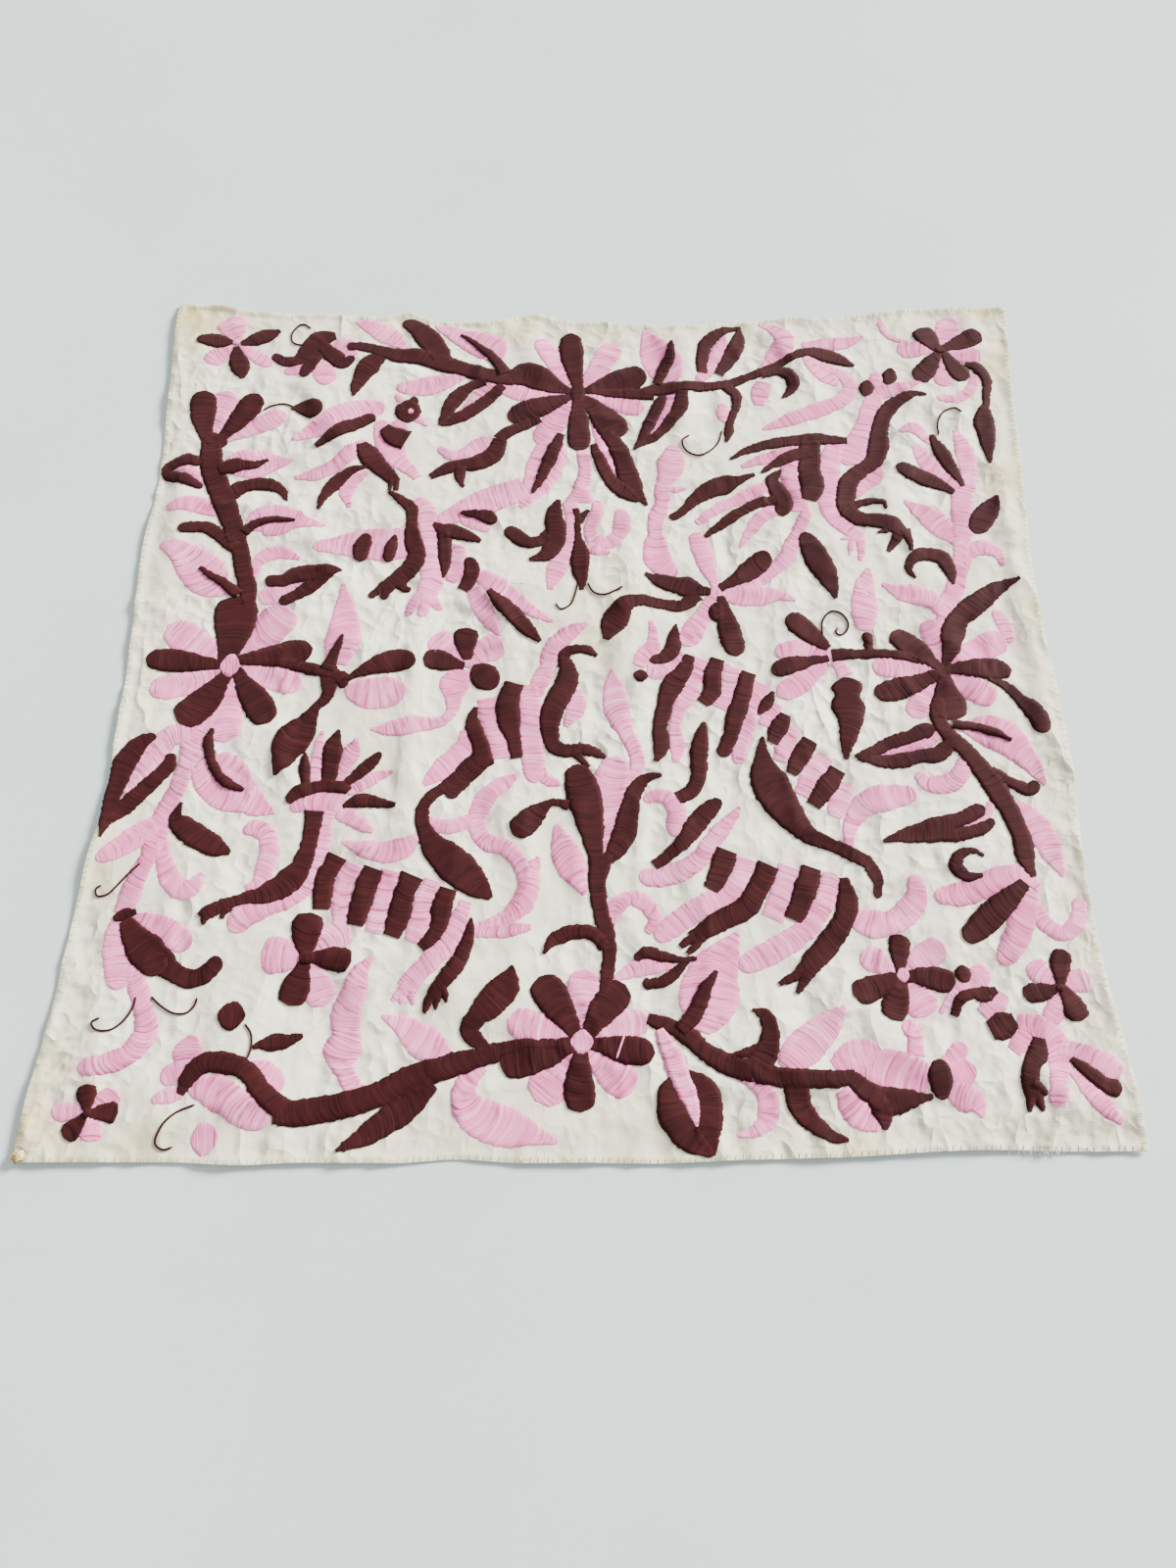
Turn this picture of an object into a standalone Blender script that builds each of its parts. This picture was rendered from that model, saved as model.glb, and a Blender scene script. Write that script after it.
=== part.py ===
# Embroidered cotton cloth, lying spread out on a flat surface. Metres, +Z up.
# The origin is at the middle of the cloth, on the surface that it lies on.
# X runs along the lower hem, Y runs from the lower hem to the upper one.

import math

import bmesh
import bpy

# The cut and the hems
LOWER_LEFT_X, LOWER_LEFT_Y = -0.620, -0.6235
LOWER_RIGHT_X, LOWER_RIGHT_Y = 0.620, -0.5965
UPPER_LEFT_X, UPPER_LEFT_Y = -0.620, 0.6155
UPPER_RIGHT_X, UPPER_RIGHT_Y = 0.620, 0.6235
CLOTH_THICK = 0.0016
HEM_WIDTH = 0.009
HEM_THICK = 0.0028
HEM_STEP = 0.0015

# The stitching draws the sides in and leaves all four hems uneven. Rows of the edge tables:
# how far along the hem (0 to 1), how far it is pulled in there, half the length of that dip
LEFT_HEM_DIPS = (
    # along, depth, half_length
    (0.330, 0.020, 0.330),
    (0.120, 0.004, 0.120),
    (0.560, 0.015, 0.300),
    (0.760, 0.013, 0.140),
    (0.350, 0.006, 0.070),
    (0.870, 0.007, 0.100),
)
RIGHT_HEM_DIPS = (
    # along, depth, half_length
    (0.240, 0.018, 0.240),
    (0.600, 0.022, 0.360),
    (0.880, 0.006, 0.120),
)
UPPER_HEM_DIPS = (
    # along, depth, half_length
    (0.200, 0.023, 0.260),
    (0.370, 0.026, 0.200),
    (0.600, 0.040, 0.260),
    (0.800, 0.013, 0.110),
    (0.280, -0.015, 0.040),
    (0.430, -0.013, 0.060),
)
LOWER_HEM_DIPS = (
    # along, depth, half_length
    (0.500, -0.006, 0.500),
    (0.390, 0.004, 0.060),
    (0.840, 0.004, 0.120),
    (0.195, -0.003, 0.060),
    (0.570, -0.002, 0.080),
)

# Soft ridges that stand up from the surface, each between two points, in metres
FOLDS = (
    # from_x, from_y, to_x, to_y, height, half_width
    (-0.225, 0.190, -0.222, -0.300, 0.0055, 0.024),
    (-0.575, 0.540, -0.560, 0.020, 0.0050, 0.030),
    (0.572, 0.480, 0.585, -0.280, 0.0055, 0.026),
    (-0.560, -0.600, -0.300, -0.540, 0.0040, 0.030),
    (0.470, 0.470, 0.400, 0.200, 0.0065, 0.036),
    (0.270, 0.590, 0.340, 0.420, 0.0055, 0.034),
    (-0.110, 0.590, -0.060, 0.470, 0.0060, 0.036),
    (0.150, 0.560, 0.120, 0.360, 0.0045, 0.034),
    (-0.420, 0.480, -0.330, 0.310, 0.0050, 0.034),
    (-0.160, 0.220, -0.100, 0.020, 0.0045, 0.034),
    (0.060, 0.260, 0.040, -0.030, 0.0060, 0.036),
    (0.270, 0.200, 0.250, -0.060, 0.0050, 0.034),
    (0.330, -0.040, 0.380, -0.300, 0.0045, 0.036),
    (0.080, -0.080, 0.120, -0.260, 0.0040, 0.032),
    (-0.130, -0.120, -0.060, -0.330, 0.0040, 0.034),
    (0.250, -0.380, 0.420, -0.540, 0.0050, 0.036),
    (0.470, -0.500, 0.590, -0.560, 0.0060, 0.034),
    (-0.300, -0.360, -0.200, -0.520, 0.0040, 0.034),
    (0.060, -0.470, 0.110, -0.600, 0.0040, 0.030),
    (-0.440, -0.030, -0.350, -0.220, 0.0040, 0.036),
    (-0.400, 0.220, -0.300, 0.080, 0.0045, 0.034),
    (0.440, 0.120, 0.530, -0.100, 0.0050, 0.036),
)

# A long low swell under all of it: the crests lift, and the rest lies flat
SWELLS = (
    # wave_length, direction_deg, height, phase_deg
    (0.310, 24.0, 0.0016, 40.0),
    (0.230, 118.0, 0.0014, 200.0),
    (0.170, 71.0, 0.0010, 310.0),
)
SWELL_LIES_BELOW = 0.0012

# The hems meet in a hard lump at the lower left corner
LUMP_X, LUMP_Y = -0.609, -0.6125
LUMP_RADIUS = 0.011
LUMP_HEIGHT = 0.006

# Rows and columns of the net that the faces follow
INNER_COLUMNS = 46
INNER_ROWS = 46

COTTON_COLOUR = (0.80, 0.79, 0.72, 1.0)
COTTON_ROUGHNESS = 0.92
WIDTH = LOWER_RIGHT_X - LOWER_LEFT_X
HEIGHT = UPPER_LEFT_Y - LOWER_LEFT_Y


def clear_scene():
    """Removes what the open file holds."""
    for item in list(bpy.data.objects):
        bpy.data.objects.remove(item)


def mixed(first, second, share):
    return first + (second - first) * share


def bump(distance, half_width):
    """1 at the middle and 0 from half_width on, with a smooth fall between."""
    if abs(distance) >= half_width:
        return 0.0
    return math.cos(distance / half_width * math.pi / 2) ** 2


def pulled_in(along, dips):
    """How far a hem is pulled in at this share of its length."""
    return sum(depth * bump(along - middle, half) for middle, depth, half in dips)


def outline_point(u, v):
    """Where the cloth's share u across and v up lies, seen from above."""
    left = mixed(LOWER_LEFT_X, UPPER_LEFT_X, v) + pulled_in(v, LEFT_HEM_DIPS)
    right = mixed(LOWER_RIGHT_X, UPPER_RIGHT_X, v) - pulled_in(v, RIGHT_HEM_DIPS)
    lower = mixed(LOWER_LEFT_Y, LOWER_RIGHT_Y, u) + pulled_in(u, LOWER_HEM_DIPS)
    upper = mixed(UPPER_LEFT_Y, UPPER_RIGHT_Y, u) - pulled_in(u, UPPER_HEM_DIPS)
    return mixed(left, right, u), mixed(lower, upper, v)


def fold_height(x, y, fold):
    """The height of one ridge at a point: round across, tapered to both ends."""
    from_x, from_y, to_x, to_y, height, half_width = fold
    run_x, run_y = to_x - from_x, to_y - from_y
    length = math.hypot(run_x, run_y)
    along = ((x - from_x) * run_x + (y - from_y) * run_y) / length**2
    if not 0 < along < 1:
        return 0.0
    aside = ((x - from_x) * run_y - (y - from_y) * run_x) / length
    return height * math.sin(math.pi * along) ** 0.6 * bump(aside, half_width)


def lift(x, y):
    """How high the cloth's underside stands off the surface. Most of it lies flat."""
    swell = -SWELL_LIES_BELOW
    for wave_length, direction_deg, height, phase_deg in SWELLS:
        direction = math.radians(direction_deg)
        run = x * math.cos(direction) + y * math.sin(direction)
        swell += height * math.sin(2 * math.pi * run / wave_length + math.radians(phase_deg))
    tallest = max(fold_height(x, y, fold) for fold in FOLDS)
    return max(swell, 0.0) + tallest


def lump(x, y):
    """The extra height of the corner's lump."""
    return LUMP_HEIGHT * bump(math.hypot(x - LUMP_X, y - LUMP_Y), LUMP_RADIUS)


def net_lines(length, inner):
    """Shares of the length at which the net has a line: hem, step, then even lines."""
    hem_end = HEM_WIDTH / length
    step_end = (HEM_WIDTH + HEM_STEP) / length
    even = [mixed(step_end, 1 - step_end, i / inner) for i in range(inner + 1)]
    return [0.0, hem_end, *even, 1 - hem_end, 1.0]


def build_cloth():
    """The one panel, with its hems turned in, as a closed sheet of even thickness."""
    columns = net_lines(WIDTH, INNER_COLUMNS)
    rows = net_lines(HEIGHT, INNER_ROWS)
    mesh = bmesh.new()
    over, under = [], []
    for row, v in enumerate(rows):
        over.append([])
        under.append([])
        for column, u in enumerate(columns):
            x, y = outline_point(u, v)
            low = lift(x, y)
            in_hem = column < 2 or row < 2 or column > len(columns) - 3 or row > len(rows) - 3
            thick = HEM_THICK if in_hem else CLOTH_THICK
            over[-1].append(mesh.verts.new((x, y, low + thick + lump(x, y))))
            under[-1].append(mesh.verts.new((x, y, low)))
    for r in range(len(rows) - 1):
        for c in range(len(columns) - 1):
            a, b, d, e = over[r][c], over[r][c + 1], over[r + 1][c + 1], over[r + 1][c]
            mesh.faces.new((a, b, d, e))
            a, b, d, e = under[r][c], under[r][c + 1], under[r + 1][c + 1], under[r + 1][c]
            mesh.faces.new((e, d, b, a))
    last_row, last_column = len(rows) - 1, len(columns) - 1
    border = [(0, c) for c in range(last_column)]
    border += [(r, last_column) for r in range(last_row)]
    border += [(last_row, c) for c in range(last_column, 0, -1)]
    border += [(r, 0) for r in range(last_row, 0, -1)]
    for here, (r, c) in enumerate(border):
        next_r, next_c = border[(here + 1) % len(border)]
        mesh.faces.new((over[r][c], under[r][c], under[next_r][next_c], over[next_r][next_c]))
    bmesh.ops.triangulate(mesh, faces=mesh.faces[:])
    bmesh.ops.recalc_face_normals(mesh, faces=mesh.faces[:])
    data = bpy.data.meshes.new("cloth")
    mesh.to_mesh(data)
    mesh.free()
    cloth = bpy.data.objects.new("cloth", data)
    bpy.context.scene.collection.objects.link(cloth)
    data.shade_smooth()
    return cloth


def cotton():
    """Plain undyed cotton."""
    material = bpy.data.materials.new("cotton")
    material.use_nodes = True
    shader = material.node_tree.nodes["Principled BSDF"]
    shader.inputs["Base Color"].default_value = COTTON_COLOUR
    shader.inputs["Roughness"].default_value = COTTON_ROUGHNESS
    shader.inputs["Metallic"].default_value = 0.0
    return material


def main():
    clear_scene()
    cloth = build_cloth()
    cloth.data.materials.append(cotton())


main()
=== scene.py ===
# Embroidered cotton cloth spread out on a pale floor. Metres, +Z up.
# X runs along the lower hem, Y runs from the lower hem to the upper one.

import math

import bpy
import numpy
from mathutils import Matrix, Vector


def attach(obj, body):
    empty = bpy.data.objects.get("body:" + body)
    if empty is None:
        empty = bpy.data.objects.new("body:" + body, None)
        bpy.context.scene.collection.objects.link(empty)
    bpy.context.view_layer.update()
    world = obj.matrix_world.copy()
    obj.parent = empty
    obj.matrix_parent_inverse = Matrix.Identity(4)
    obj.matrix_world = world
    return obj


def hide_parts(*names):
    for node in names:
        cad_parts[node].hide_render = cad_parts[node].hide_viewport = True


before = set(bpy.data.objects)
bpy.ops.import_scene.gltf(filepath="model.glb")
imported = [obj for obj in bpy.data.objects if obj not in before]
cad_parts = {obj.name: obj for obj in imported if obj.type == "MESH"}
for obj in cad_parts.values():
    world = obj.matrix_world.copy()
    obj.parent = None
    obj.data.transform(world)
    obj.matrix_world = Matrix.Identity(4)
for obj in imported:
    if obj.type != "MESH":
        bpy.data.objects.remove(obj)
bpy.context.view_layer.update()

# The photograph's camera
CAMERA_X, CAMERA_Y, CAMERA_Z = 0.0013, -0.7472, 1.3419
CAMERA_TILT_DEG = 23.47
CAMERA_ROLL_DEG = 0.705
CAMERA_LENS = 27.0
CAMERA_SENSOR = 36.0

# The cloth: its outline, dips, folds and swells are the CAD sheet's, and its thickness is finer
LOWER_LEFT_X, LOWER_LEFT_Y = -0.620, -0.6235
LOWER_RIGHT_X, LOWER_RIGHT_Y = 0.620, -0.5965
UPPER_LEFT_X, UPPER_LEFT_Y = -0.620, 0.6155
UPPER_RIGHT_X, UPPER_RIGHT_Y = 0.620, 0.6235
WIDTH = LOWER_RIGHT_X - LOWER_LEFT_X
HEIGHT = UPPER_LEFT_Y - LOWER_LEFT_Y
FLAT_WIDTH, FLAT_HEIGHT = 1.27, 1.27
CLOTH_THICK = 0.0009
HEM_WIDTH = 0.0075
HEM_THICK = 0.0018
HEM_STEP = 0.0020
# The stitching draws the sides in and leaves all four hems uneven. Rows of the edge tables:
# how far along the hem (0 to 1), how far it is pulled in there, half the length of that dip
LEFT_HEM_DIPS = (
    # along, depth, half_length
    (0.330, 0.020, 0.330),
    (0.120, 0.004, 0.120),
    (0.560, 0.015, 0.300),
    (0.760, 0.013, 0.140),
    (0.350, 0.006, 0.070),
    (0.870, 0.007, 0.100),
)
RIGHT_HEM_DIPS = (
    # along, depth, half_length
    (0.240, 0.018, 0.240),
    (0.600, 0.022, 0.360),
    (0.880, 0.006, 0.120),
)
UPPER_HEM_DIPS = (
    # along, depth, half_length
    (0.200, 0.023, 0.260),
    (0.370, 0.026, 0.200),
    (0.600, 0.040, 0.260),
    (0.800, 0.013, 0.110),
    (0.280, -0.015, 0.040),
    (0.430, -0.013, 0.060),
)
LOWER_HEM_DIPS = (
    # along, depth, half_length
    (0.500, -0.006, 0.500),
    (0.390, 0.004, 0.060),
    (0.840, 0.004, 0.120),
    (0.195, -0.003, 0.060),
    (0.570, -0.002, 0.080),
)
FOLDS = (
    # from_x, from_y, to_x, to_y, height, half_width
    (-0.225, 0.190, -0.222, -0.300, 0.0055, 0.024),
    (-0.575, 0.540, -0.560, 0.020, 0.0050, 0.030),
    (0.572, 0.480, 0.585, -0.280, 0.0055, 0.026),
    (-0.560, -0.600, -0.300, -0.540, 0.0040, 0.030),
    (0.470, 0.470, 0.400, 0.200, 0.0065, 0.036),
    (0.270, 0.590, 0.340, 0.420, 0.0055, 0.034),
    (-0.110, 0.590, -0.060, 0.470, 0.0060, 0.036),
    (0.150, 0.560, 0.120, 0.360, 0.0045, 0.034),
    (-0.420, 0.480, -0.330, 0.310, 0.0050, 0.034),
    (-0.160, 0.220, -0.100, 0.020, 0.0045, 0.034),
    (0.060, 0.260, 0.040, -0.030, 0.0060, 0.036),
    (0.270, 0.200, 0.250, -0.060, 0.0050, 0.034),
    (0.330, -0.040, 0.380, -0.300, 0.0045, 0.036),
    (0.080, -0.080, 0.120, -0.260, 0.0040, 0.032),
    (-0.130, -0.120, -0.060, -0.330, 0.0040, 0.034),
    (0.250, -0.380, 0.420, -0.540, 0.0050, 0.036),
    (0.470, -0.500, 0.590, -0.560, 0.0060, 0.034),
    (-0.300, -0.360, -0.200, -0.520, 0.0040, 0.034),
    (0.060, -0.470, 0.110, -0.600, 0.0040, 0.030),
    (-0.440, -0.030, -0.350, -0.220, 0.0040, 0.036),
    (-0.400, 0.220, -0.300, 0.080, 0.0045, 0.034),
    (0.440, 0.120, 0.530, -0.100, 0.0050, 0.036),
)
SWELLS = (
    # wave_length, direction_deg, height, phase_deg
    (0.310, 24.0, 0.0016, 40.0),
    (0.230, 118.0, 0.0014, 200.0),
    (0.170, 71.0, 0.0010, 310.0),
)
SWELL_LIES_BELOW = 0.0012
# The hard lump at the lower left corner, a little nearer to the corner than the CAD's
LUMP_X, LUMP_Y = -0.6128, -0.6165
LUMP_RADIUS = 0.0072
LUMP_HEIGHT = 0.0062
SHEET_COLUMNS = 170
SHEET_ROWS = 170

# Fine creases in the cloth: crest length, distance between crests, turn in degrees, height, seed
CREASES = (
    (0.150, 0.060, 8.0, 0.0046, 11),
    (0.130, 0.050, 62.0, 0.0042, 12),
    (0.120, 0.046, 118.0, 0.0040, 13),
    (0.160, 0.070, 95.0, 0.0048, 14),
    (0.085, 0.030, 38.0, 0.0022, 15),
    (0.080, 0.028, 142.0, 0.0022, 16),
)
HIGHEST_CREASE = 0.0095

# The motifs were read off in centimetres, in a frame that starts this far below the cloth's middle
MOTIF_UP = 0.0035
CM = 0.01

# The embroidery thread
THREAD_PITCH = 0.00136
THREAD_HEIGHT = 0.0008
THREAD_VALLEY = 0.00034
THREAD_STEP = 0.0060
THREAD_PUFF = 0.0002
OVER_OTHER = 0.0012
DARK_STANDS_OVER = 0.0008
SEAT_GAP = 0.00006
TENDRIL_RADIUS = 0.0013
TENDRIL_SPACING = 0.0022
PINK_TENDRIL_RAISED = 0.0004
FEWEST_COLUMNS, MOST_COLUMNS = 4, 13
WIDEST_RIM_SHARE = 0.16
STEEP_RIM, SOFT_RIM = 0.0004, 0.0010
RAG_OF_ONE_THREAD = (-0.0003, 0.0007)
RAG_OF_MANY = 0.0008
DIP_ENDS_SHORT = 0.0006
MOST_SLANT = 0.28
MOST_BOW = 0.16
WAVER = 0.0008
CLUMP_RISE = 0.00016
CLUMP_SHADE = 0.12
FLECK_SHADE = 0.20
# The stitches fill their shapes a little beyond the widths that were read off
FILLED_OUT = {"D": (1.07, 0.04), "P": (1.13, 0.08)}


def mixed(first, second, share):
    return first + (second - first) * share


def bump(distance, half_width):
    """1 at the middle and 0 from half_width on, with a smooth fall between."""
    share = numpy.clip(numpy.abs(distance) / half_width, 0.0, 1.0)
    return numpy.cos(share * math.pi / 2) ** 2


def pulled_in(along, dips):
    """How far a hem is pulled in at this share of its length."""
    return sum(depth * bump(along - middle, half) for middle, depth, half in dips)


def side_edges(v):
    """The left and right edge's X at this share of the height."""
    left = mixed(LOWER_LEFT_X, UPPER_LEFT_X, v) + pulled_in(v, LEFT_HEM_DIPS)
    right = mixed(LOWER_RIGHT_X, UPPER_RIGHT_X, v) - pulled_in(v, RIGHT_HEM_DIPS)
    return left, right


def hem_edges(u):
    """The lower and upper edge's Y at this share of the width."""
    lower = mixed(LOWER_LEFT_Y, LOWER_RIGHT_Y, u) + pulled_in(u, LOWER_HEM_DIPS)
    upper = mixed(UPPER_LEFT_Y, UPPER_RIGHT_Y, u) - pulled_in(u, UPPER_HEM_DIPS)
    return lower, upper


def outline_point(u, v):
    """Where the cloth's share u across and v up lies, seen from above."""
    left, right = side_edges(v)
    lower, upper = hem_edges(u)
    return mixed(left, right, u), mixed(lower, upper, v)


def shares_of(x, y):
    """The cloth's shares across and up at a place, the way back from outline_point."""
    u = (x - LOWER_LEFT_X) / WIDTH
    v = (y - LOWER_LEFT_Y) / HEIGHT
    for _ in range(6):
        left, right = side_edges(v)
        u = (x - left) / (right - left)
        lower, upper = hem_edges(u)
        v = (y - lower) / (upper - lower)
    return u, v


def fold_height(x, y, fold):
    """The height of one ridge at a point: round across, tapered to both ends."""
    from_x, from_y, to_x, to_y, height, half_width = fold
    run_x, run_y = to_x - from_x, to_y - from_y
    length = math.hypot(run_x, run_y)
    along = ((x - from_x) * run_x + (y - from_y) * run_y) / length**2
    aside = ((x - from_x) * run_y - (y - from_y) * run_x) / length
    taper = numpy.sin(math.pi * numpy.clip(along, 0.0, 1.0)) ** 0.6
    return height * taper * bump(aside, half_width)


def lift(x, y):
    """How high the cloth's underside stands off the floor, as in the CAD sheet."""
    swell = numpy.full_like(x, -SWELL_LIES_BELOW)
    for wave_length, direction_deg, height, phase_deg in SWELLS:
        direction = math.radians(direction_deg)
        run = x * math.cos(direction) + y * math.sin(direction)
        swell += height * numpy.sin(2 * math.pi * run / wave_length + math.radians(phase_deg))
    tallest = numpy.max([fold_height(x, y, fold) for fold in FOLDS], axis=0)
    return numpy.maximum(swell, 0.0) + tallest


def soft_noise(x, y, cell, seed):
    """Smooth values from -1 to 1 over the plane, with one new value per cell."""
    size = 97
    table = numpy.random.default_rng(seed).uniform(-1.0, 1.0, (size, size))
    across, up = x / cell + 300.0, y / cell + 300.0
    column, row = numpy.floor(across).astype(int), numpy.floor(up).astype(int)
    a, b = across - column, up - row
    a = a**3 * (a * (a * 6 - 15) + 10)
    b = b**3 * (b * (b * 6 - 15) + 10)
    low = mixed(table[row % size, column % size], table[row % size, (column + 1) % size], a)
    row = row + 1
    high = mixed(table[row % size, column % size], table[row % size, (column + 1) % size], a)
    return mixed(low, high, b)


def creases(x, y):
    """Fine crests that only stand up, so that the cloth stays off the floor."""
    bend_x = soft_noise(x, y, 0.07, 3) * 0.016
    bend_y = soft_noise(x, y, 0.07, 4) * 0.016
    total = numpy.zeros_like(x)
    for length, spacing, turn_deg, height, seed in CREASES:
        turn = math.radians(turn_deg)
        along = (x + bend_x) * math.cos(turn) + (y + bend_y) * math.sin(turn)
        across = (y + bend_y) * math.cos(turn) - (x + bend_x) * math.sin(turn)
        crest = 1.0 - numpy.abs(soft_noise(along * spacing / length, across, spacing, seed))
        present = numpy.clip(soft_noise(x, y, 0.13, seed + 20) + 0.45, 0.0, 1.0)
        total += height * crest**3 * present
    return HIGHEST_CREASE * numpy.tanh(total / HIGHEST_CREASE)


def sheet_lines(length, count):
    """Shares of the length at which the sheet has a line: hem, step, then even lines."""
    hem = HEM_WIDTH / length
    step = (HEM_WIDTH + HEM_STEP) / length
    even = numpy.linspace(step, 1 - step, count + 1)
    head = [0.0, hem * 0.12, hem * 0.5, hem]
    return numpy.array([*head, *even, *[1 - share for share in reversed(head)]])


COLUMN_LINES = sheet_lines(WIDTH, SHEET_COLUMNS)
ROW_LINES = sheet_lines(HEIGHT, SHEET_ROWS)


def hem_rise(lines):
    """The hem's extra thickness at each line, 0 inside the cloth."""
    rise = numpy.zeros(len(lines))
    rise[:4] = (0.0, 0.8, 1.0, 0.86)
    rise[-4:] = (0.86, 1.0, 0.8, 0.0)
    return rise * (HEM_THICK - CLOTH_THICK)


def sheet_heights():
    """The cloth's grid of places, with the heights of its underside and its upper face."""
    u, v = numpy.meshgrid(COLUMN_LINES, ROW_LINES)
    x, y = outline_point(u, v)
    low = lift(x, y) + creases(x, y)
    rise = numpy.maximum(hem_rise(COLUMN_LINES)[None, :], hem_rise(ROW_LINES)[:, None])
    edge = numpy.minimum(numpy.minimum(u, 1 - u) * WIDTH, numpy.minimum(v, 1 - v) * HEIGHT)
    thick = numpy.where(edge < 1e-6, CLOTH_THICK + 0.0005, CLOTH_THICK + rise)
    return x, y, low, low + thick


SHEET_X, SHEET_Y, SHEET_LOW, SHEET_TOP = sheet_heights()


def seat(x, y):
    """The height of the cloth's upper face at any places on it."""
    u, v = shares_of(x, y)
    column = numpy.clip(numpy.searchsorted(COLUMN_LINES, u) - 1, 0, len(COLUMN_LINES) - 2)
    row = numpy.clip(numpy.searchsorted(ROW_LINES, v) - 1, 0, len(ROW_LINES) - 2)
    a = (u - COLUMN_LINES[column]) / (COLUMN_LINES[column + 1] - COLUMN_LINES[column])
    b = (v - ROW_LINES[row]) / (ROW_LINES[row + 1] - ROW_LINES[row])
    a, b = numpy.clip(a, 0.0, 1.0), numpy.clip(b, 0.0, 1.0)
    low = mixed(SHEET_TOP[row, column], SHEET_TOP[row, column + 1], a)
    high = mixed(SHEET_TOP[row + 1, column], SHEET_TOP[row + 1, column + 1], a)
    return mixed(low, high, b)


# Meshes from grids of points

def ring_of(index):
    """The four corners of every quad in a grid of point numbers."""
    ring = (index[:-1, :-1], index[:-1, 1:], index[1:, 1:], index[1:, :-1])
    return numpy.stack(ring, axis=-1).reshape(-1, 4)


def quad_mesh(name, corners, quads):
    """A smooth mesh from points and the four point numbers of each face."""
    mesh = bpy.data.meshes.new(name)
    mesh.vertices.add(len(corners))
    mesh.vertices.foreach_set("co", corners.astype(numpy.float32).ravel())
    mesh.loops.add(quads.size)
    mesh.loops.foreach_set("vertex_index", quads.astype(numpy.int32).ravel())
    mesh.polygons.add(len(quads))
    mesh.polygons.foreach_set("loop_start", numpy.arange(0, quads.size, 4, dtype=numpy.int32))
    mesh.update(calc_edges=True)
    mesh.validate()
    mesh.shade_smooth()
    return mesh


def paint_points(mesh, name, values):
    """Stores four values at each point, for the material to read."""
    layer = mesh.color_attributes.new(name, "FLOAT_COLOR", "POINT")
    layer.data.foreach_set("color", values.astype(numpy.float32).ravel())


def placed(name, mesh):
    piece = bpy.data.objects.new(name, mesh)
    bpy.context.scene.collection.objects.link(piece)
    return piece


def joined_grids(name, grids):
    """One mesh object from many grids of points, each with a value per point."""
    corners, quads, tones, start = [], [], [], 0
    for points, tone_and_shade in grids:
        rows, columns = points.shape[:2]
        quads.append(ring_of(start + numpy.arange(rows * columns).reshape(rows, columns)))
        corners.append(points.reshape(-1, 3))
        tones.append(tone_and_shade.reshape(-1, 4))
        start += rows * columns
    mesh = quad_mesh(name, numpy.concatenate(corners), numpy.concatenate(quads))
    paint_points(mesh, "tone_and_shade", numpy.concatenate(tones))
    return placed(name, mesh)


# Bands of laid thread

def smooth_spine(points):
    """Many places along a smooth curve through the points, with the width at each."""
    points = numpy.array(points, dtype=float)
    chord = numpy.hypot(*numpy.diff(points[:, :2], axis=0).T)
    knots = numpy.concatenate([[0.0], numpy.cumsum(numpy.maximum(chord, 1e-4))])
    slopes = numpy.gradient(points, knots, axis=0) if len(points) > 2 else None
    if slopes is None:
        share = numpy.linspace(0.0, 1.0, 40)[:, None]
        fine = points[0] + (points[1] - points[0]) * share
    else:
        fine = []
        for i in range(len(points) - 1):
            shaded_gap = knots[i + 1] - knots[i]
            t = numpy.linspace(0.0, 1.0, 16, endpoint=i == len(points) - 2)[:, None]
            a, b = points[i], points[i + 1]
            m, n = slopes[i] * shaded_gap, slopes[i + 1] * shaded_gap
            fine.append(
                (2 * t**3 - 3 * t**2 + 1) * a + (t**3 - 2 * t**2 + t) * m
                + (3 * t**2 - 2 * t**3) * b + (t**3 - t**2) * n
            )
        fine = numpy.concatenate(fine)
    place = fine[:, :2] * CM
    place[:, 1] += MOTIF_UP
    width = numpy.maximum(fine[:, 2] * CM, 0.0002)
    return place, width


def rounded_ends(run, length, width, ends):
    """Widths that close in a half circle at the ends marked r."""
    for near, mark, end in ((run, ends[0], 0), (length - run, ends[1], -1)):
        if mark != "r":
            continue
        radius = max(width[end] / 2, 0.0012)
        inside = numpy.clip(near, 0.0, radius)
        circle = numpy.sqrt(numpy.maximum(radius**2 - (radius - inside) ** 2, 0.0)) / radius
        width = numpy.where(near < radius, width * numpy.maximum(circle, 0.06), width)
    return width


def band_spine(points, ends, filled_out):
    """A band's middle line: the run along it, its places, its widths and its direction."""
    share, extra = filled_out
    points = [(x, y, wide * share + extra * min(wide, 1.0)) for x, y, wide in points]
    place, width = smooth_spine(points)
    step = numpy.hypot(*numpy.diff(place, axis=0).T)
    run = numpy.concatenate([[0.0], numpy.cumsum(step)])
    width = rounded_ends(run, run[-1], width, ends)
    tangent = numpy.gradient(place, run + numpy.arange(len(run)) * 1e-9, axis=0)
    tangent /= numpy.maximum(numpy.hypot(tangent[:, 0], tangent[:, 1]), 1e-9)[:, None]
    return run, place, width, tangent


def shares_across(widest, steep):
    """Shares of the width at which a thread has a point, with a narrow rim at each end."""
    columns = int(numpy.clip(round(widest / THREAD_STEP) + 3, FEWEST_COLUMNS, MOST_COLUMNS))
    rim = min(WIDEST_RIM_SHARE, (STEEP_RIM if steep else SOFT_RIM) / widest)
    return numpy.concatenate([[0.0], numpy.linspace(rim, 1 - rim, columns - 2), [1.0]])


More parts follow.
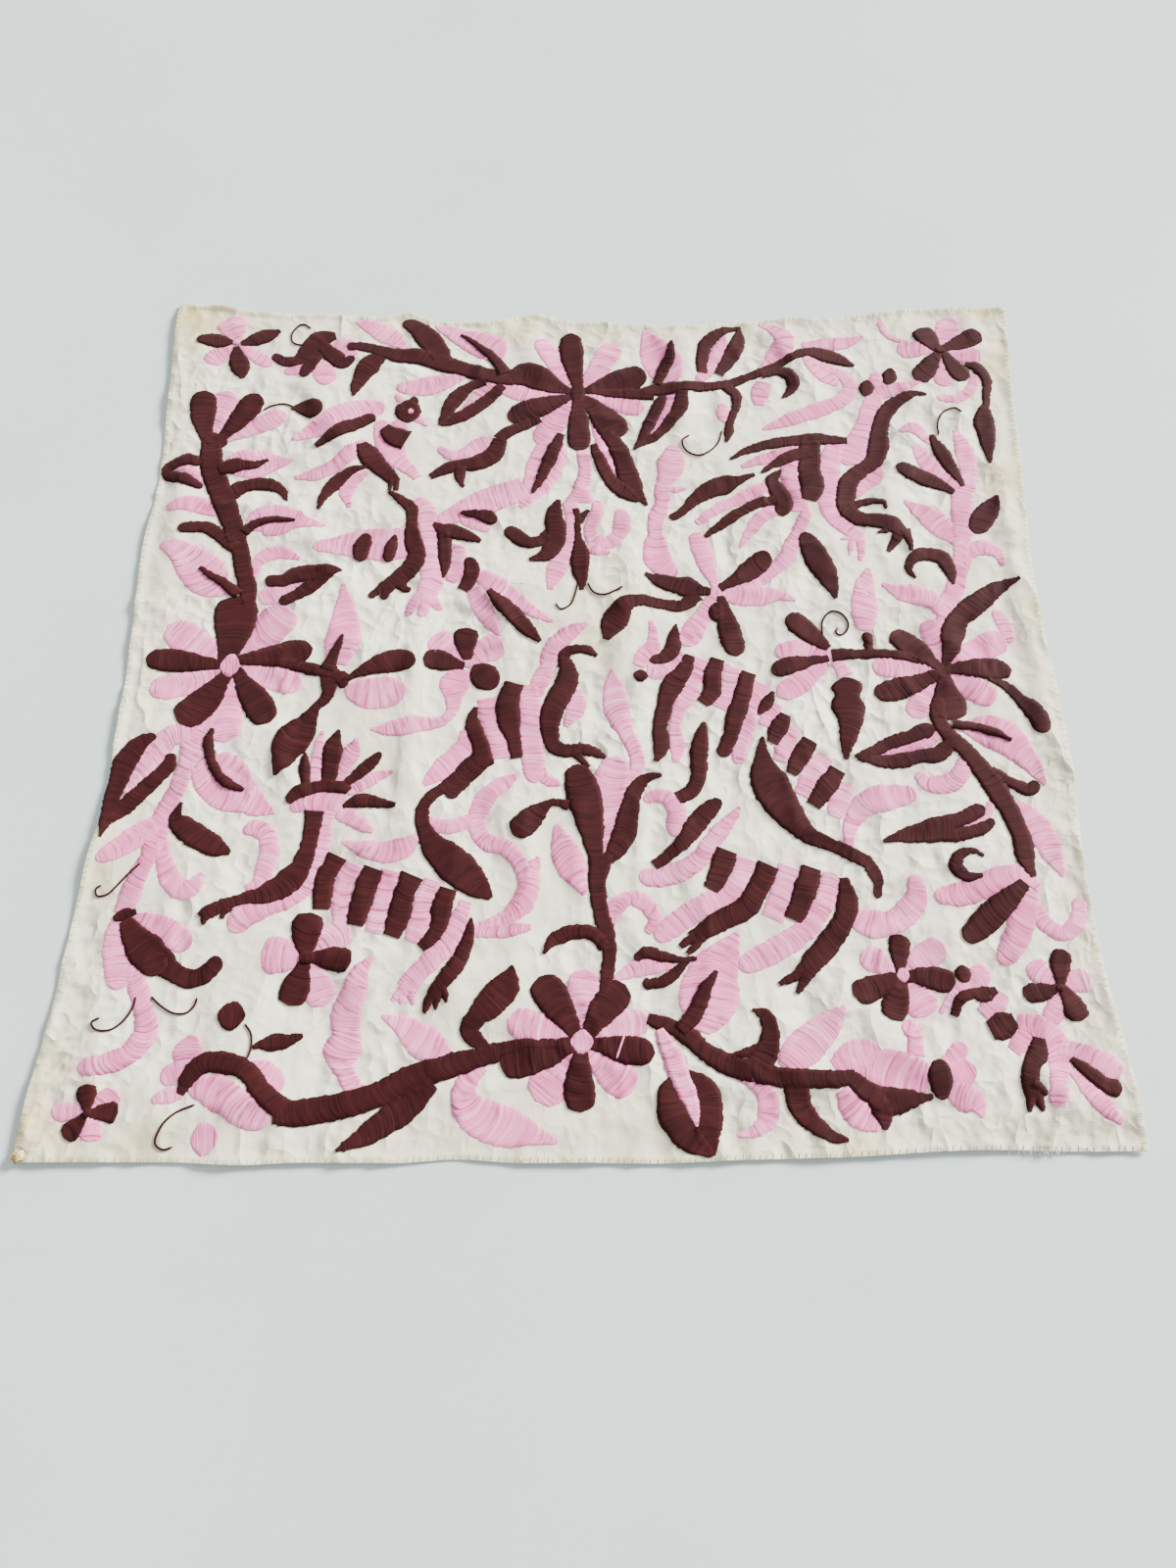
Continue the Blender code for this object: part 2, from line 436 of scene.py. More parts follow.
def ragged_ends(along, crest, random, seed):
    """How far each thread's two ends stand past the band's edges."""
    ragged = random.uniform(*RAG_OF_ONE_THREAD, (len(along), 2))
    for edge in (0, 1):
        cells = along + 3.0 * edge
        ragged[:, edge] += RAG_OF_MANY * soft_noise(cells / 0.0042, 0 * cells, 1.0, seed + 5)
        ragged[:, edge] += RAG_OF_MANY * soft_noise(cells / 0.0150, 0 * cells, 1.0, seed + 6)
    ragged[~crest] -= DIP_ENDS_SHORT
    return ragged


def laid_band(points, ends, random, over, filled_out):
    """A grid of laid threads that cross the band: a crest row and a dip row for each thread."""
    run, place, width, tangent = band_spine(points, ends, filled_out)
    length = run[-1]
    rows = 2 * max(3, int(length / THREAD_PITCH)) + 1
    crest = numpy.arange(rows) % 2 == 1
    along = numpy.linspace(0.0, length, rows)
    widest = float(width.max())
    across = shares_across(widest, over)
    side = across[None, :] - 0.5

    # The threads slant, bow and waver
    here_width = numpy.interp(along, run, width)[:, None]
    slant = random.uniform(-MOST_SLANT, MOST_SLANT)
    bow = random.uniform(-MOST_BOW, MOST_BOW)
    clear_of_ends = numpy.clip(numpy.minimum(along, length - along) / (0.6 * widest), 0.0, 1.0)[:, None]
    shift = (slant * side + bow * (1.0 - 4.0 * side**2)) * here_width * clear_of_ends
    seed = int(random.integers(1, 9000))
    waver = soft_noise(along[:, None] / 0.0058 + 0 * side, side * here_width / 0.011, 1.0, seed)
    shift = shift + waver * WAVER * clear_of_ends
    where = numpy.clip(along[:, None] + shift, 0.0, length)

    centre_x, centre_y = (numpy.interp(where, run, place[:, axis]) for axis in (0, 1))
    run_x, run_y = (numpy.interp(where, run, tangent[:, axis]) for axis in (0, 1))
    half = numpy.interp(where, run, width)
    ragged = ragged_ends(along, crest, random, seed)
    reach = numpy.where(side < 0, ragged[:, :1], ragged[:, 1:])
    out = side * (half + 2 * reach * (numpy.abs(side) > 0.3))
    x = centre_x + run_y * out
    y = centre_y - run_x * out

    # Gaps between threads, and clumps that stand up or lie low; the gaps and dips also get painted shade in
    # the tone below
    patchy = soft_noise(along[:, None] / 0.0030 + 0 * side, side * here_width / 0.008, 1.0, seed + 7)
    thread = numpy.arange(rows) // 2
    count = thread.max() + 1
    clump = soft_noise(numpy.arange(count) / 2.6, numpy.zeros(count), 1.0, seed + 1)[thread]
    fleck = random.uniform(-1.0, 1.0, count)[thread]
    shaded_gap = numpy.clip(random.uniform(-1.1, 1.2, count), 0.0, 1.0)[thread]
    shaded_gap = numpy.where(crest, 1.6 * numpy.clip(shaded_gap - 0.6, 0.0, 0.4), shaded_gap)[:, None]
    shaded_gap = shaded_gap * numpy.clip(0.7 + 0.9 * patchy, 0.0, 1.0)
    height = numpy.where(crest, THREAD_HEIGHT, THREAD_VALLEY)[:, None] * (1.0 - 0.7 * shaded_gap)
    body = numpy.sin(math.pi * numpy.clip(across, 0.0, 1.0)) ** 0.5
    height = height + THREAD_PUFF * body[None, :] + clump[:, None] * CLUMP_RISE
    inside = numpy.ones(len(across))
    inside[[0, -1]] = 0.0
    narrow = numpy.clip(half / 0.003, 0.25, 1.0)
    z = seat(x, y) + SEAT_GAP + (height * narrow + over) * inside[None, :]

    tone_and_shade = numpy.ones((rows, len(across), 4))
    tone_and_shade[..., 0] = (0.5 + CLUMP_SHADE * clump + FLECK_SHADE * fleck)[:, None]
    # Painted shade: the second tone value is 1 on crests and lower in dip rows, in gaps and at the thread
    # ends that dive into the cloth
    depth = numpy.where(crest, 1.0, 0.55)[:, None] - 0.6 * shaded_gap
    tone_and_shade[..., 1] = depth * numpy.where(inside > 0, 1.0, 0.75)[None, :]
    return numpy.stack([x, y, z], axis=-1), tone_and_shade


def petal_points(x0, y0, x1, y1, wide, bend):
    """A petal from its foot to its round tip."""
    shape = ((-0.07, 0.34), (0.18, 0.60), (0.42, 0.87), (0.66, 1.0), (0.84, 0.92), (0.94, 0.68), (1.0, 0.22))
    rows = []
    for share, part in shape:
        aside = bend * math.sin(math.pi * share)
        x = mixed(x0, x1, share) - (y1 - y0) * aside
        y = mixed(y0, y1, share) + (x1 - x0) * aside
        rows.append((x, y, wide * part))
    return rows


# The motifs, in centimetres. D is the dark thread and P the pink, and + lies over the other colour.
# A petal row has its foot, its tip and its width. Another row has two marks for its ends,
# r round, p pointed, b blunt, and then points along it, each with the width there.
MOTIFS = {
    "corner_flower_upper_left": (
        ("P", "petal", -52.7, 54.3, -54.4, 58.2, 3.8),
        ("D", "rr", (-53.1, 53.6, 0.7), (-54.6, 53.8, 2.2), (-56.2, 53.9, 2.4), (-57.6, 53.9, 1.8),
         (-58.5, 53.8, 1.1)),
        ("D", "pp", (-52.0, 53.3, 0.7), (-50.6, 53.9, 2.0), (-49.0, 54.6, 2.6), (-47.6, 55.2, 2.1),
         (-46.4, 55.9, 0.6)),
        ("D", "pp", (-52.6, 52.8, 0.8), (-52.2, 50.9, 2.1), (-51.6, 49.2, 2.7), (-51.1, 47.6, 2.0),
         (-50.7, 46.3, 0.7)),
        ("P", "petal", -53.2, 52.8, -56.2, 49.2, 2.6),
        ("P", "petal", -51.9, 52.9, -46.8, 49.2, 2.2),
        ("P+", "rr", (-53.2, 53.5, 0.9), (-52.2, 53.5, 0.9)),
        ("D", "rp", (-47.0, 51.1, 1.2), (-45.0, 49.9, 1.6), (-43.0, 50.2, 2.0), (-41.8, 52.0, 2.6),
         (-40.2, 54.0, 3.2), (-38.0, 54.8, 1.2)),
        ("D", "rr", (-40.0, 53.0, 1.6), (-38.0, 50.9, 2.5), (-36.5, 49.7, 2.2), (-34.8, 50.6, 1.0)),
        ("D", "rr", (-40.0, 51.5, 1.2), (-41.3, 49.0, 2.0), (-42.2, 46.8, 1.4)),
        ("P", "rr", (-40.6, 50.6, 1.2), (-42.8, 49.0, 2.4), (-44.8, 47.8, 1.4)),
        ("P", "rr", (-39.8, 50.0, 1.6), (-39.0, 47.6, 3.0), (-38.5, 45.3, 1.8)),
        ("P", "rr", (-38.4, 53.0, 2.2), (-36.6, 52.6, 3.2), (-35.0, 50.3, 1.4)),
    ),
    "left_plant": (
        ("D", "petal", -54.6, 35.6, -55.8, 44.0, 3.5),
        ("P", "petal", -53.8, 36.8, -52.4, 44.0, 3.3),
        ("D", "petal", -52.5, 35.8, -48.0, 43.5, 3.3),
        ("P", "petal", -51.8, 35.8, -43.8, 40.4, 2.6),
        ("D", "rr", (-55.0, 36.5, 1.4), (-53.2, 35.4, 2.4), (-51.5, 34.8, 1.4)),
        ("D", "pr", (-43.2, 41.5, 0.4), (-41.4, 41.3, 2.4), (-39.8, 40.9, 3.0), (-38.5, 40.4, 1.6)),
        ("D", "bb", (-53.8, 35.2, 2.6), (-53.2, 31.0, 3.0), (-50.8, 25.2, 3.0), (-48.6, 20.2, 2.7),
         (-47.0, 15.4, 2.2), (-45.6, 10.6, 2.2), (-44.9, 7.0, 1.2)),
        ("D", "rr", (-54.6, 31.3, 1.5), (-56.5, 31.7, 1.9), (-58.3, 31.2, 1.7), (-60.0, 29.8, 0.9)),
        ("D", "rr", (-60.0, 29.9, 0.9), (-58.5, 29.0, 1.7), (-56.5, 28.4, 1.7), (-54.0, 27.4, 0.8)),
        ("P", "pp", (-58.6, 30.4, 0.4), (-56.5, 30.1, 1.0), (-55.0, 29.4, 1.2), (-54.0, 28.4, 0.8)),
        ("P", "pp", (-51.3, 31.3, 1.5), (-49.5, 31.5, 3.8), (-47.0, 31.5, 4.3), (-44.5, 31.9, 2.6),
         (-42.0, 32.3, 0.3)),
        ("D+", "pp", (-52.0, 30.2, 1.2), (-50.5, 30.9, 2.3), (-48.5, 31.2, 1.5), (-47.0, 31.3, 1.1),
         (-45.4, 32.2, 0.3)),
        ("D", "bp", (-50.2, 25.9, 2.2), (-48.9, 27.3, 2.2), (-47.0, 28.0, 2.0), (-44.8, 28.0, 2.0),
         (-43.2, 27.2, 1.5), (-41.9, 25.0, 0.3)),
        ("P", "rp", (-58.2, 23.3, 1.0), (-56.5, 24.2, 1.9), (-54.5, 24.3, 2.4), (-52.6, 23.6, 1.9),
         (-51.4, 22.7, 0.8)),
        ("D", "rb", (-56.2, 19.9, 1.2), (-54.8, 20.3, 1.7), (-52.8, 20.6, 1.8), (-51.0, 19.6, 1.8),
         (-49.0, 18.0, 1.9), (-47.8, 17.2, 1.6)),
        ("P", "pp", (-46.8, 20.6, 1.2), (-45.3, 21.6, 3.8), (-43.0, 21.7, 4.4), (-40.5, 21.8, 3.0),
         (-38.5, 21.3, 1.4), (-36.2, 21.0, 0.3)),
        ("D+", "pp", (-47.2, 19.7, 1.3), (-46.2, 20.8, 1.2), (-44.5, 21.5, 1.0), (-42.5, 21.7, 0.9),
         (-40.3, 21.6, 0.3)),
        ("P", "rp", (-58.3, 17.7, 0.8), (-56.3, 17.0, 2.4), (-54.0, 15.3, 4.2), (-51.5, 12.8, 5.2),
         (-49.3, 11.2, 3.6), (-47.6, 10.7, 0.8)),
        ("D+", "pb", (-52.4, 14.0, 0.4), (-50.8, 12.8, 0.9), (-49.0, 11.8, 1.2), (-47.8, 10.7, 1.5),
         (-46.6, 9.9, 1.3)),
        ("P", "bp", (-45.1, 12.8, 0.8), (-44.9, 14.8, 1.3), (-43.8, 16.3, 1.9), (-42.2, 16.7, 1.9),
         (-40.6, 16.3, 1.3), (-39.2, 15.7, 0.3)),
        ("P", "bp", (-43.8, 9.3, 1.6), (-42.2, 10.1, 2.8), (-40.2, 11.3, 1.6), (-37.8, 12.1, 0.3)),
        ("D", "rp", (-43.4, 11.8, 1.8), (-42.4, 12.2, 2.0), (-41.0, 12.2, 1.9), (-39.5, 13.0, 2.4),
         (-37.0, 13.3, 2.3), (-35.0, 13.5, 1.7), (-33.2, 13.7, 0.3)),
        ("D", "rp", (-41.2, 8.7, 1.6), (-39.5, 9.6, 1.8), (-37.3, 11.1, 2.0), (-35.6, 12.6, 1.6),
         (-34.0, 13.5, 0.6)),
    ),
    "left_flower": (
        ("D", "petal", -47.0, 0.3, -46.9, 9.7, 5.4),
        ("P", "petal", -45.8, 0.5, -39.8, 8.0, 4.8),
        ("D", "petal", -45.4, -0.1, -35.9, 1.7, 3.2),
        ("P", "petal", -44.9, -1.1, -36.8, -3.6, 3.2),
        ("D", "petal", -45.3, -1.9, -40.2, -9.2, 3.6),
        ("P", "petal", -46.1, -2.3, -45.5, -12.0, 4.0),
        ("D", "petal", -46.8, -2.5, -51.8, -9.3, 4.2),
        ("P", "petal", -47.7, -1.7, -56.3, -4.5, 3.2),
        ("D", "petal", -47.8, -0.7, -57.4, 0.1, 3.2),
        ("P", "petal", -47.5, 0.2, -55.3, 4.9, 3.8),
        ("P+", "rr", (-47.7, -0.9, 1.8), (-46.4, -0.9, 3.0), (-45.1, -0.9, 1.8)),
        ("D", "bb", (-45.3, -0.2, 0.8), (-41.0, -0.5, 1.1), (-37.5, -0.9, 1.5), (-34.8, -1.6, 1.6),
         (-32.0, -2.3, 1.4), (-30.4, -2.8, 0.8)),
        ("D", "rr", (-32.4, -2.2, 1.2), (-31.6, -3.2, 1.7), (-31.2, -4.1, 1.2)),
        ("D", "bb", (-33.4, -2.4, 1.9), (-33.0, -0.8, 1.2)),
        ("P", "bp", (-32.7, -0.6, 2.4), (-32.2, 2.0, 4.0), (-32.1, 5.0, 3.6), (-32.4, 8.0, 2.4),
         (-32.9, 11.7, 0.3)),
        ("D+", "pb", (-32.2, 3.7, 0.3), (-32.6, 2.0, 0.9), (-33.2, 0.2, 1.4), (-33.7, -1.4, 1.8)),
        ("D", "bp", (-33.3, -2.6, 2.1), (-33.4, -5.2, 1.5), (-34.7, -7.0, 1.3), (-35.5, -8.6, 2.6),
         (-36.6, -10.8, 4.2), (-37.6, -13.0, 3.6), (-38.3, -15.2, 1.8), (-38.8, -16.5, 0.4)),
        ("D", "pr", (-31.0, -2.8, 0.5), (-28.5, -1.5, 1.9), (-26.3, -0.5, 2.9), (-24.3, 0.0, 3.0),
         (-22.3, -0.4, 1.8)),
        ("P", "rr", (-31.2, -4.2, 0.8), (-29.5, -4.6, 3.0), (-27.0, -4.9, 3.9), (-25.0, -4.5, 3.6),
         (-23.3, -4.0, 1.8)),
    ),
    "left_lower_stem": (
        ("P", "bb", (-47.9, -7.4, 1.0), (-48.6, -9.5, 2.2), (-49.2, -12.0, 3.0), (-49.9, -15.0, 2.0),
         (-50.5, -18.0, 2.0), (-51.7, -21.5, 2.1), (-52.2, -24.5, 2.5), (-52.5, -27.0, 1.9),
         (-53.4, -29.5, 2.0), (-54.2, -32.5, 2.2), (-54.6, -34.4, 2.0)),
        ("P", "bp", (-49.6, -10.6, 2.2), (-52.3, -11.3, 2.6), (-54.2, -13.5, 3.2), (-55.7, -16.0, 2.5),
         (-57.0, -18.4, 1.4), (-57.9, -20.0, 0.3)),
        ("D", "rp", (-54.2, -11.2, 0.9), (-55.7, -11.9, 2.0), (-57.2, -14.0, 2.7), (-58.0, -17.0, 2.4),
         (-58.4, -20.0, 1.8), (-58.5, -22.0, 1.6), (-58.9, -24.9, 0.3)),
        ("D", "rp", (-51.9, -13.6, 1.0), (-52.1, -15.0, 1.7), (-53.5, -17.0, 1.8), (-55.2, -19.0, 2.0),
         (-56.8, -20.9, 1.9), (-58.2, -22.6, 1.2)),
        ("P", "pp", (-48.6, -14.6, 1.5), (-47.2, -16.6, 3.4), (-44.9, -18.3, 4.6), (-42.3, -19.4, 3.8),
         (-40.3, -20.5, 2.4), (-38.2, -21.4, 0.3)),
        ("P", "rp", (-46.4, -13.8, 1.2), (-44.6, -14.9, 2.3), (-42.8, -16.6, 2.2), (-41.0, -18.8, 1.4)),
        ("D+", "pp", (-47.3, -10.1, 0.3), (-47.6, -12.0, 1.2), (-47.1, -14.0, 1.2), (-45.9, -16.2, 1.2),
         (-44.3, -17.7, 1.2), (-42.3, -18.4, 0.4)),
        ("D", "pp", (-49.8, -20.2, 0.3), (-50.1, -22.3, 1.8), (-48.5, -23.8, 2.8), (-46.3, -25.2, 2.8),
         (-44.5, -26.0, 2.2), (-42.9, -26.6, 0.5)),
        ("P", "br", (-51.6, -22.0, 1.0), (-54.0, -24.2, 2.8), (-56.0, -25.9, 2.6), (-57.8, -27.2, 1.6),
         (-58.8, -27.8, 0.6)),
        ("P", "bp", (-51.4, -25.2, 1.4), (-50.5, -28.0, 1.8), (-49.4, -30.4, 2.3), (-47.8, -31.5, 2.2),
         (-46.4, -30.7, 1.6), (-45.8, -29.4, 0.6)),
        ("P", "rp", (-41.7, -24.0, 1.2), (-40.5, -23.4, 1.8), (-39.0, -24.0, 2.0), (-38.3, -26.0, 2.0),
         (-38.6, -28.5, 2.0), (-39.3, -30.5, 1.4), (-40.6, -31.1, 0.6)),
        ("D", "rp", (-55.7, -35.1, 0.6), (-54.5, -34.6, 1.4), (-53.0, -34.1, 0.6)),
        ("D", "br", (-54.2, -35.2, 1.4), (-52.8, -37.2, 3.0), (-50.8, -39.2, 4.0), (-49.2, -40.2, 3.0),
         (-47.5, -41.4, 2.2), (-45.3, -42.1, 2.1), (-43.4, -41.3, 2.0), (-42.5, -39.5, 1.4)),
        ("D", "rr", (-50.8, -39.2, 2.0), (-50.0, -40.6, 3.2), (-49.6, -41.9, 2.2)),
        ("P", "rr", (-53.2, -34.6, 0.8), (-50.0, -35.9, 2.4), (-47.6, -37.4, 2.8), (-46.0, -38.4, 1.8)),
        ("P", "pr", (-55.2, -35.4, 1.6), (-54.9, -38.5, 2.6), (-54.0, -41.0, 3.0), (-53.5, -43.5, 2.0)),
        ("P", "pr", (-52.6, -39.6, 1.0), (-51.5, -43.0, 1.9), (-50.2, -46.0, 2.0), (-49.8, -48.5, 2.3),
         (-51.2, -50.7, 2.2), (-53.8, -52.0, 2.0), (-56.6, -52.4, 1.6)),
    ),
    "corner_flower_lower_left": (
        ("D", "petal", -54.7, -57.0, -55.2, -54.2, 2.2),
        ("D", "petal", -54.1, -57.4, -51.3, -57.2, 2.3),
        ("D", "petal", -54.9, -57.6, -56.8, -60.0, 2.2),
        ("P", "petal", -55.2, -57.2, -58.6, -57.0, 1.9),
        ("P", "petal", -54.0, -57.0, -52.0, -54.8, 2.1),
        ("P", "petal", -54.2, -57.9, -53.8, -60.4, 2.1),
        ("D+", "rr", (-55.1, -57.4, 1.0), (-54.1, -57.4, 1.0)),
    ),
    "lower_left_bloom": (
        ("D", "rr", (-41.7, -46.4, 1.6), (-40.1, -46.4, 3.2), (-38.5, -46.4, 1.6)),
        ("D", "pp", (-37.3, -49.9, 0.3), (-35.2, -49.4, 1.7), (-33.8, -49.2, 1.6), (-31.8, -48.5, 0.4)),
        ("D", "pb", (-44.8, -55.2, 0.8), (-44.0, -53.2, 2.0), (-42.4, -51.7, 2.2), (-39.8, -51.8, 2.2),
         (-37.6, -52.6, 2.0), (-36.0, -54.4, 2.1), (-34.2, -56.0, 2.3), (-33.0, -56.8, 2.4)),
        ("P", "pb", (-44.3, -48.6, 0.8), (-44.5, -50.6, 3.2), (-44.4, -52.2, 2.0)),
        ("P", "rb", (-47.1, -53.8, 1.6), (-45.9, -53.0, 2.2), (-44.8, -52.6, 1.6)),
        ("P", "rb", (-47.8, -55.9, 0.7), (-45.8, -55.3, 1.6), (-44.6, -55.0, 1.0)),
        ("P", "rr", (-43.9, -54.6, 1.4), (-41.6, -54.6, 3.0), (-39.2, -55.8, 3.2), (-36.8, -57.2, 3.0),
         (-34.6, -58.2, 1.4)),
        ("P", "rr", (-37.0, -51.6, 1.2), (-35.2, -53.2, 2.6), (-33.4, -54.6, 1.8)),
        ("P", "rr", (-42.9, -60.0, 1.8), (-41.4, -59.9, 3.1), (-39.8, -59.8, 1.8)),
        ("D", "bb", (-34.2, -57.2, 2.2), (-31.0, -57.0, 2.8), (-27.0, -56.2, 2.8), (-23.0, -55.0, 2.7),
         (-19.5, -53.3, 3.0), (-16.0, -52.0, 2.6), (-12.5, -50.9, 2.3), (-9.5, -50.2, 1.6)),
        ("D", "bp", (-16.8, -53.6, 1.6), (-19.3, -56.0, 2.8), (-22.0, -58.0, 2.8), (-24.6, -59.8, 1.8),
         (-26.9, -61.0, 0.3)),
        ("P", "pb", (-24.7, -39.3, 0.3), (-26.0, -41.5, 2.0), (-26.6, -44.0, 2.6), (-27.2, -46.0, 3.2),
         (-27.0, -48.3, 2.8), (-27.2, -50.3, 3.8), (-26.8, -52.3, 1.9), (-25.7, -54.0, 1.7),
         (-24.3, -54.8, 1.2)),
        ("P", "pp", (-23.0, -46.2, 0.3), (-20.5, -47.3, 2.2), (-18.3, -48.9, 3.4), (-16.2, -50.2, 2.4),
         (-14.6, -50.8, 0.8)),
        ("P", "bp", (-11.2, -51.7, 1.0), (-12.9, -53.4, 2.0), (-13.2, -55.4, 2.8), (-11.4, -57.2, 3.8),
         (-8.5, -58.2, 3.9), (-5.6, -59.0, 2.2), (-2.7, -59.8, 0.3)),
        ("D", "pb", (-8.3, -40.2, 0.3), (-9.0, -42.4, 3.0), (-10.7, -44.6, 3.2), (-12.3, -46.2, 2.2),
         (-13.0, -47.5, 2.0), (-12.0, -49.0, 1.6), (-10.5, -50.0, 1.2)),
    ),
    "small_flower_left": (
        ("D", "petal", -32.4, -39.2, -32.4, -34.0, 3.5),
        ("D", "petal", -31.8, -39.5, -27.0, -40.0, 2.8),
        ("D", "petal", -32.5, -40.0, -33.8, -45.1, 3.2),
        ("P", "petal", -31.9, -38.8, -27.6, -36.0, 3.2),
        ("P", "petal", -32.9, -39.5, -37.6, -39.2, 4.0),
        ("P", "petal", -31.8, -40.3, -29.7, -45.0, 3.2),
        ("D+", "rr", (-33.2, -39.5, 1.4), (-31.4, -39.5, 1.4)),
    ),
    "upper_left_branch": (
        ("P", "pp", (-35.3, 57.6, 0.3), (-32.6, 56.4, 2.4), (-30.2, 54.9, 2.9), (-27.4, 52.5, 0.8)),
        ("D", "br", (-21.7, 50.0, 2.4), (-22.8, 52.4, 3.2), (-24.6, 54.8, 3.2), (-26.6, 56.8, 2.6),
         (-28.3, 57.7, 1.5)),
        ("P", "pr", (-23.5, 57.2, 0.3), (-20.6, 55.6, 2.2), (-17.6, 54.2, 3.6), (-15.0, 53.0, 4.4),
         (-13.0, 51.6, 3.2)),
        ("D+", "pb", (-19.5, 55.5, 0.4), (-17.8, 54.3, 0.8), (-16.2, 52.8, 1.1), (-14.2, 50.7, 1.5),
         (-12.8, 48.2, 1.9)),
        ("D", "rb", (-36.2, 52.6, 1.4), (-33.8, 52.6, 1.6), (-31.2, 51.9, 1.9), (-28.8, 51.2, 2.3),
         (-25.8, 51.2, 2.7), (-22.5, 50.2, 2.8), (-18.8, 49.1, 2.4), (-16.0, 48.0, 2.5),
         (-13.0, 47.5, 3.0), (-10.4, 47.6, 3.0)),
        ("D", "bp", (-30.8, 51.2, 1.6), (-32.4, 49.4, 3.0), (-33.3, 47.6, 2.6), (-34.1, 45.4, 1.6),
         (-34.5, 43.5, 0.3)),
        ("P", "rp", (-28.4, 45.4, 1.2), (-25.6, 45.6, 2.6), (-22.4, 46.2, 2.8), (-18.5, 47.8, 0.5)),
        ("D", "bp", (-15.5, 46.6, 1.2), (-17.6, 45.8, 1.6), (-19.4, 44.0, 2.2), (-20.6, 41.8, 1.9),
         (-21.8, 38.8, 0.3)),
        ("D", "bp", (-12.9, 45.8, 1.2), (-14.6, 43.8, 1.8), (-17.2, 41.4, 2.0), (-19.6, 39.9, 1.6),
         (-21.6, 38.8, 0.4)),
        ("P", "bp", (-13.6, 46.3, 1.4), (-16.3, 44.4, 1.5), (-17.9, 42.3, 0.9), (-19.0, 41.2, 0.3)),
    ),
    "top_flower": (
        ("D", "petal", -2.0, 45.9, -3.2, 56.2, 3.3),
        ("P", "petal", -2.7, 45.9, -7.8, 54.8, 2.8),
        ("D", "br", (-3.0, 45.1, 1.0), (-5.6, 46.1, 2.8), (-8.4, 47.5, 4.0), (-10.4, 48.2, 3.8),
         (-12.0, 48.4, 2.6)),
        ("P", "rp", (-3.0, 44.6, 0.8), (-6.4, 44.4, 2.2), (-10.0, 44.6, 2.9), (-12.6, 45.1, 1.8),
         (-14.7, 46.0, 0.3)),
        ("D", "br", (-2.9, 44.0, 1.0), (-5.4, 42.9, 2.6), (-8.2, 41.6, 3.5), (-10.4, 40.5, 3.4),
         (-12.0, 39.9, 2.6)),
        ("P", "petal", -2.4, 43.7, -7.5, 35.4, 3.2),
        ("D", "petal", -2.0, 43.7, -1.8, 34.3, 3.1),
        ("P", "petal", -1.5, 45.9, 3.3, 54.2, 3.1),
        ("D", "br", (-1.2, 45.1, 1.0), (1.6, 46.0, 2.8), (4.2, 47.0, 4.2), (6.4, 47.6, 4.0),
         (8.0, 47.6, 2.6)),
        ("P", "br", (-1.2, 44.3, 0.8), (1.8, 43.9, 2.2), (4.6, 43.0, 3.0), (6.4, 42.3, 2.6),
         (7.6, 42.1, 1.6)),
        ("D", "br", (-1.3, 43.9, 1.2), (0.4, 42.0, 2.8), (2.2, 39.8, 4.2), (3.2, 37.8, 4.0),
         (3.4, 36.6, 2.6)),
        ("D", "rr", (-2.1, 42.9, 1.2), (-2.1, 44.8, 2.1), (-2.1, 46.6, 1.2)),
        ("D", "bb", (-7.4, 39.8, 1.4), (-9.6, 38.6, 1.7), (-11.6, 37.5, 1.8), (-13.2, 36.0, 1.8)),
        ("D", "bb", (-0.4, 45.2, 1.0), (3.0, 44.9, 1.4), (6.0, 44.7, 1.8), (9.0, 44.6, 2.0)),
        ("D", "bb", (-12.9, 36.0, 1.9), (-13.6, 33.8, 2.4), (-16.0, 32.1, 2.3), (-18.4, 31.6, 1.7),
         (-20.5, 30.9, 1.7), (-22.5, 29.6, 0.7)),
        ("D", "bp", (-18.4, 31.4, 1.6), (-18.3, 29.4, 1.4), (-17.8, 27.8, 0.4)),
        ("P", "rr", (-13.8, 36.2, 2.0), (-15.6, 35.0, 2.8), (-17.6, 33.6, 2.2), (-19.8, 33.4, 1.6),
         (-21.6, 34.8, 0.9)),
        ("P", "pp", (-5.0, 37.4, 1.2), (-5.6, 34.6, 4.0), (-6.6, 31.4, 4.4), (-7.6, 28.6, 3.6),
         (-9.6, 24.6, 0.5)),
        ("D+", "pp", (-4.4, 37.2, 1.0), (-5.2, 34.5, 1.8), (-6.3, 31.5, 1.6), (-7.2, 29.0, 1.1),
         (-8.1, 27.0, 0.3)),
        ("P", "pb", (0.1, 39.4, 0.4), (1.1, 36.4, 1.1), (2.3, 33.0, 1.2), (3.4, 30.4, 0.8),
         (3.7, 29.4, 0.4)),
        ("D", "rp", (1.6, 38.2, 1.4), (3.4, 35.6, 2.4), (4.6, 32.6, 2.6), (5.3, 30.0, 3.0),
         (6.4, 27.6, 1.9),
         (7.8, 25.1, 0.4)),
        ("D", "pb", (0.3, 35.6, 0.8), (0.9, 33.6, 1.5), (1.9, 31.2, 1.8), (3.1, 29.0, 2.0),
         (4.6, 27.6, 2.2),
         (6.8, 26.0, 1.0)),
        ("P", "bb", (-1.2, 34.4, 1.4), (-0.8, 31.0, 1.7), (-1.3, 28.0, 2.0), (-1.6, 25.4, 3.6)),
    ),
    "bird_upper_left": (
        ("D", "rr", (-26.4, 43.2, 1.8), (-26.4, 41.2, 3.5), (-26.4, 39.1, 1.8)),
        ("D", "rr", (-26.4, 43.0, 1.6), (-25.0, 43.1, 1.6)),
        ("D", "rr", (-28.3, 41.8, 1.8), (-27.0, 41.6, 1.8)),
        ("P+", "rr", (-26.4, 41.1, 0.8), (-25.6, 41.1, 0.8)),
        ("P", "rr", (-28.4, 44.2, 0.8), (-27.4, 43.0, 1.3)),
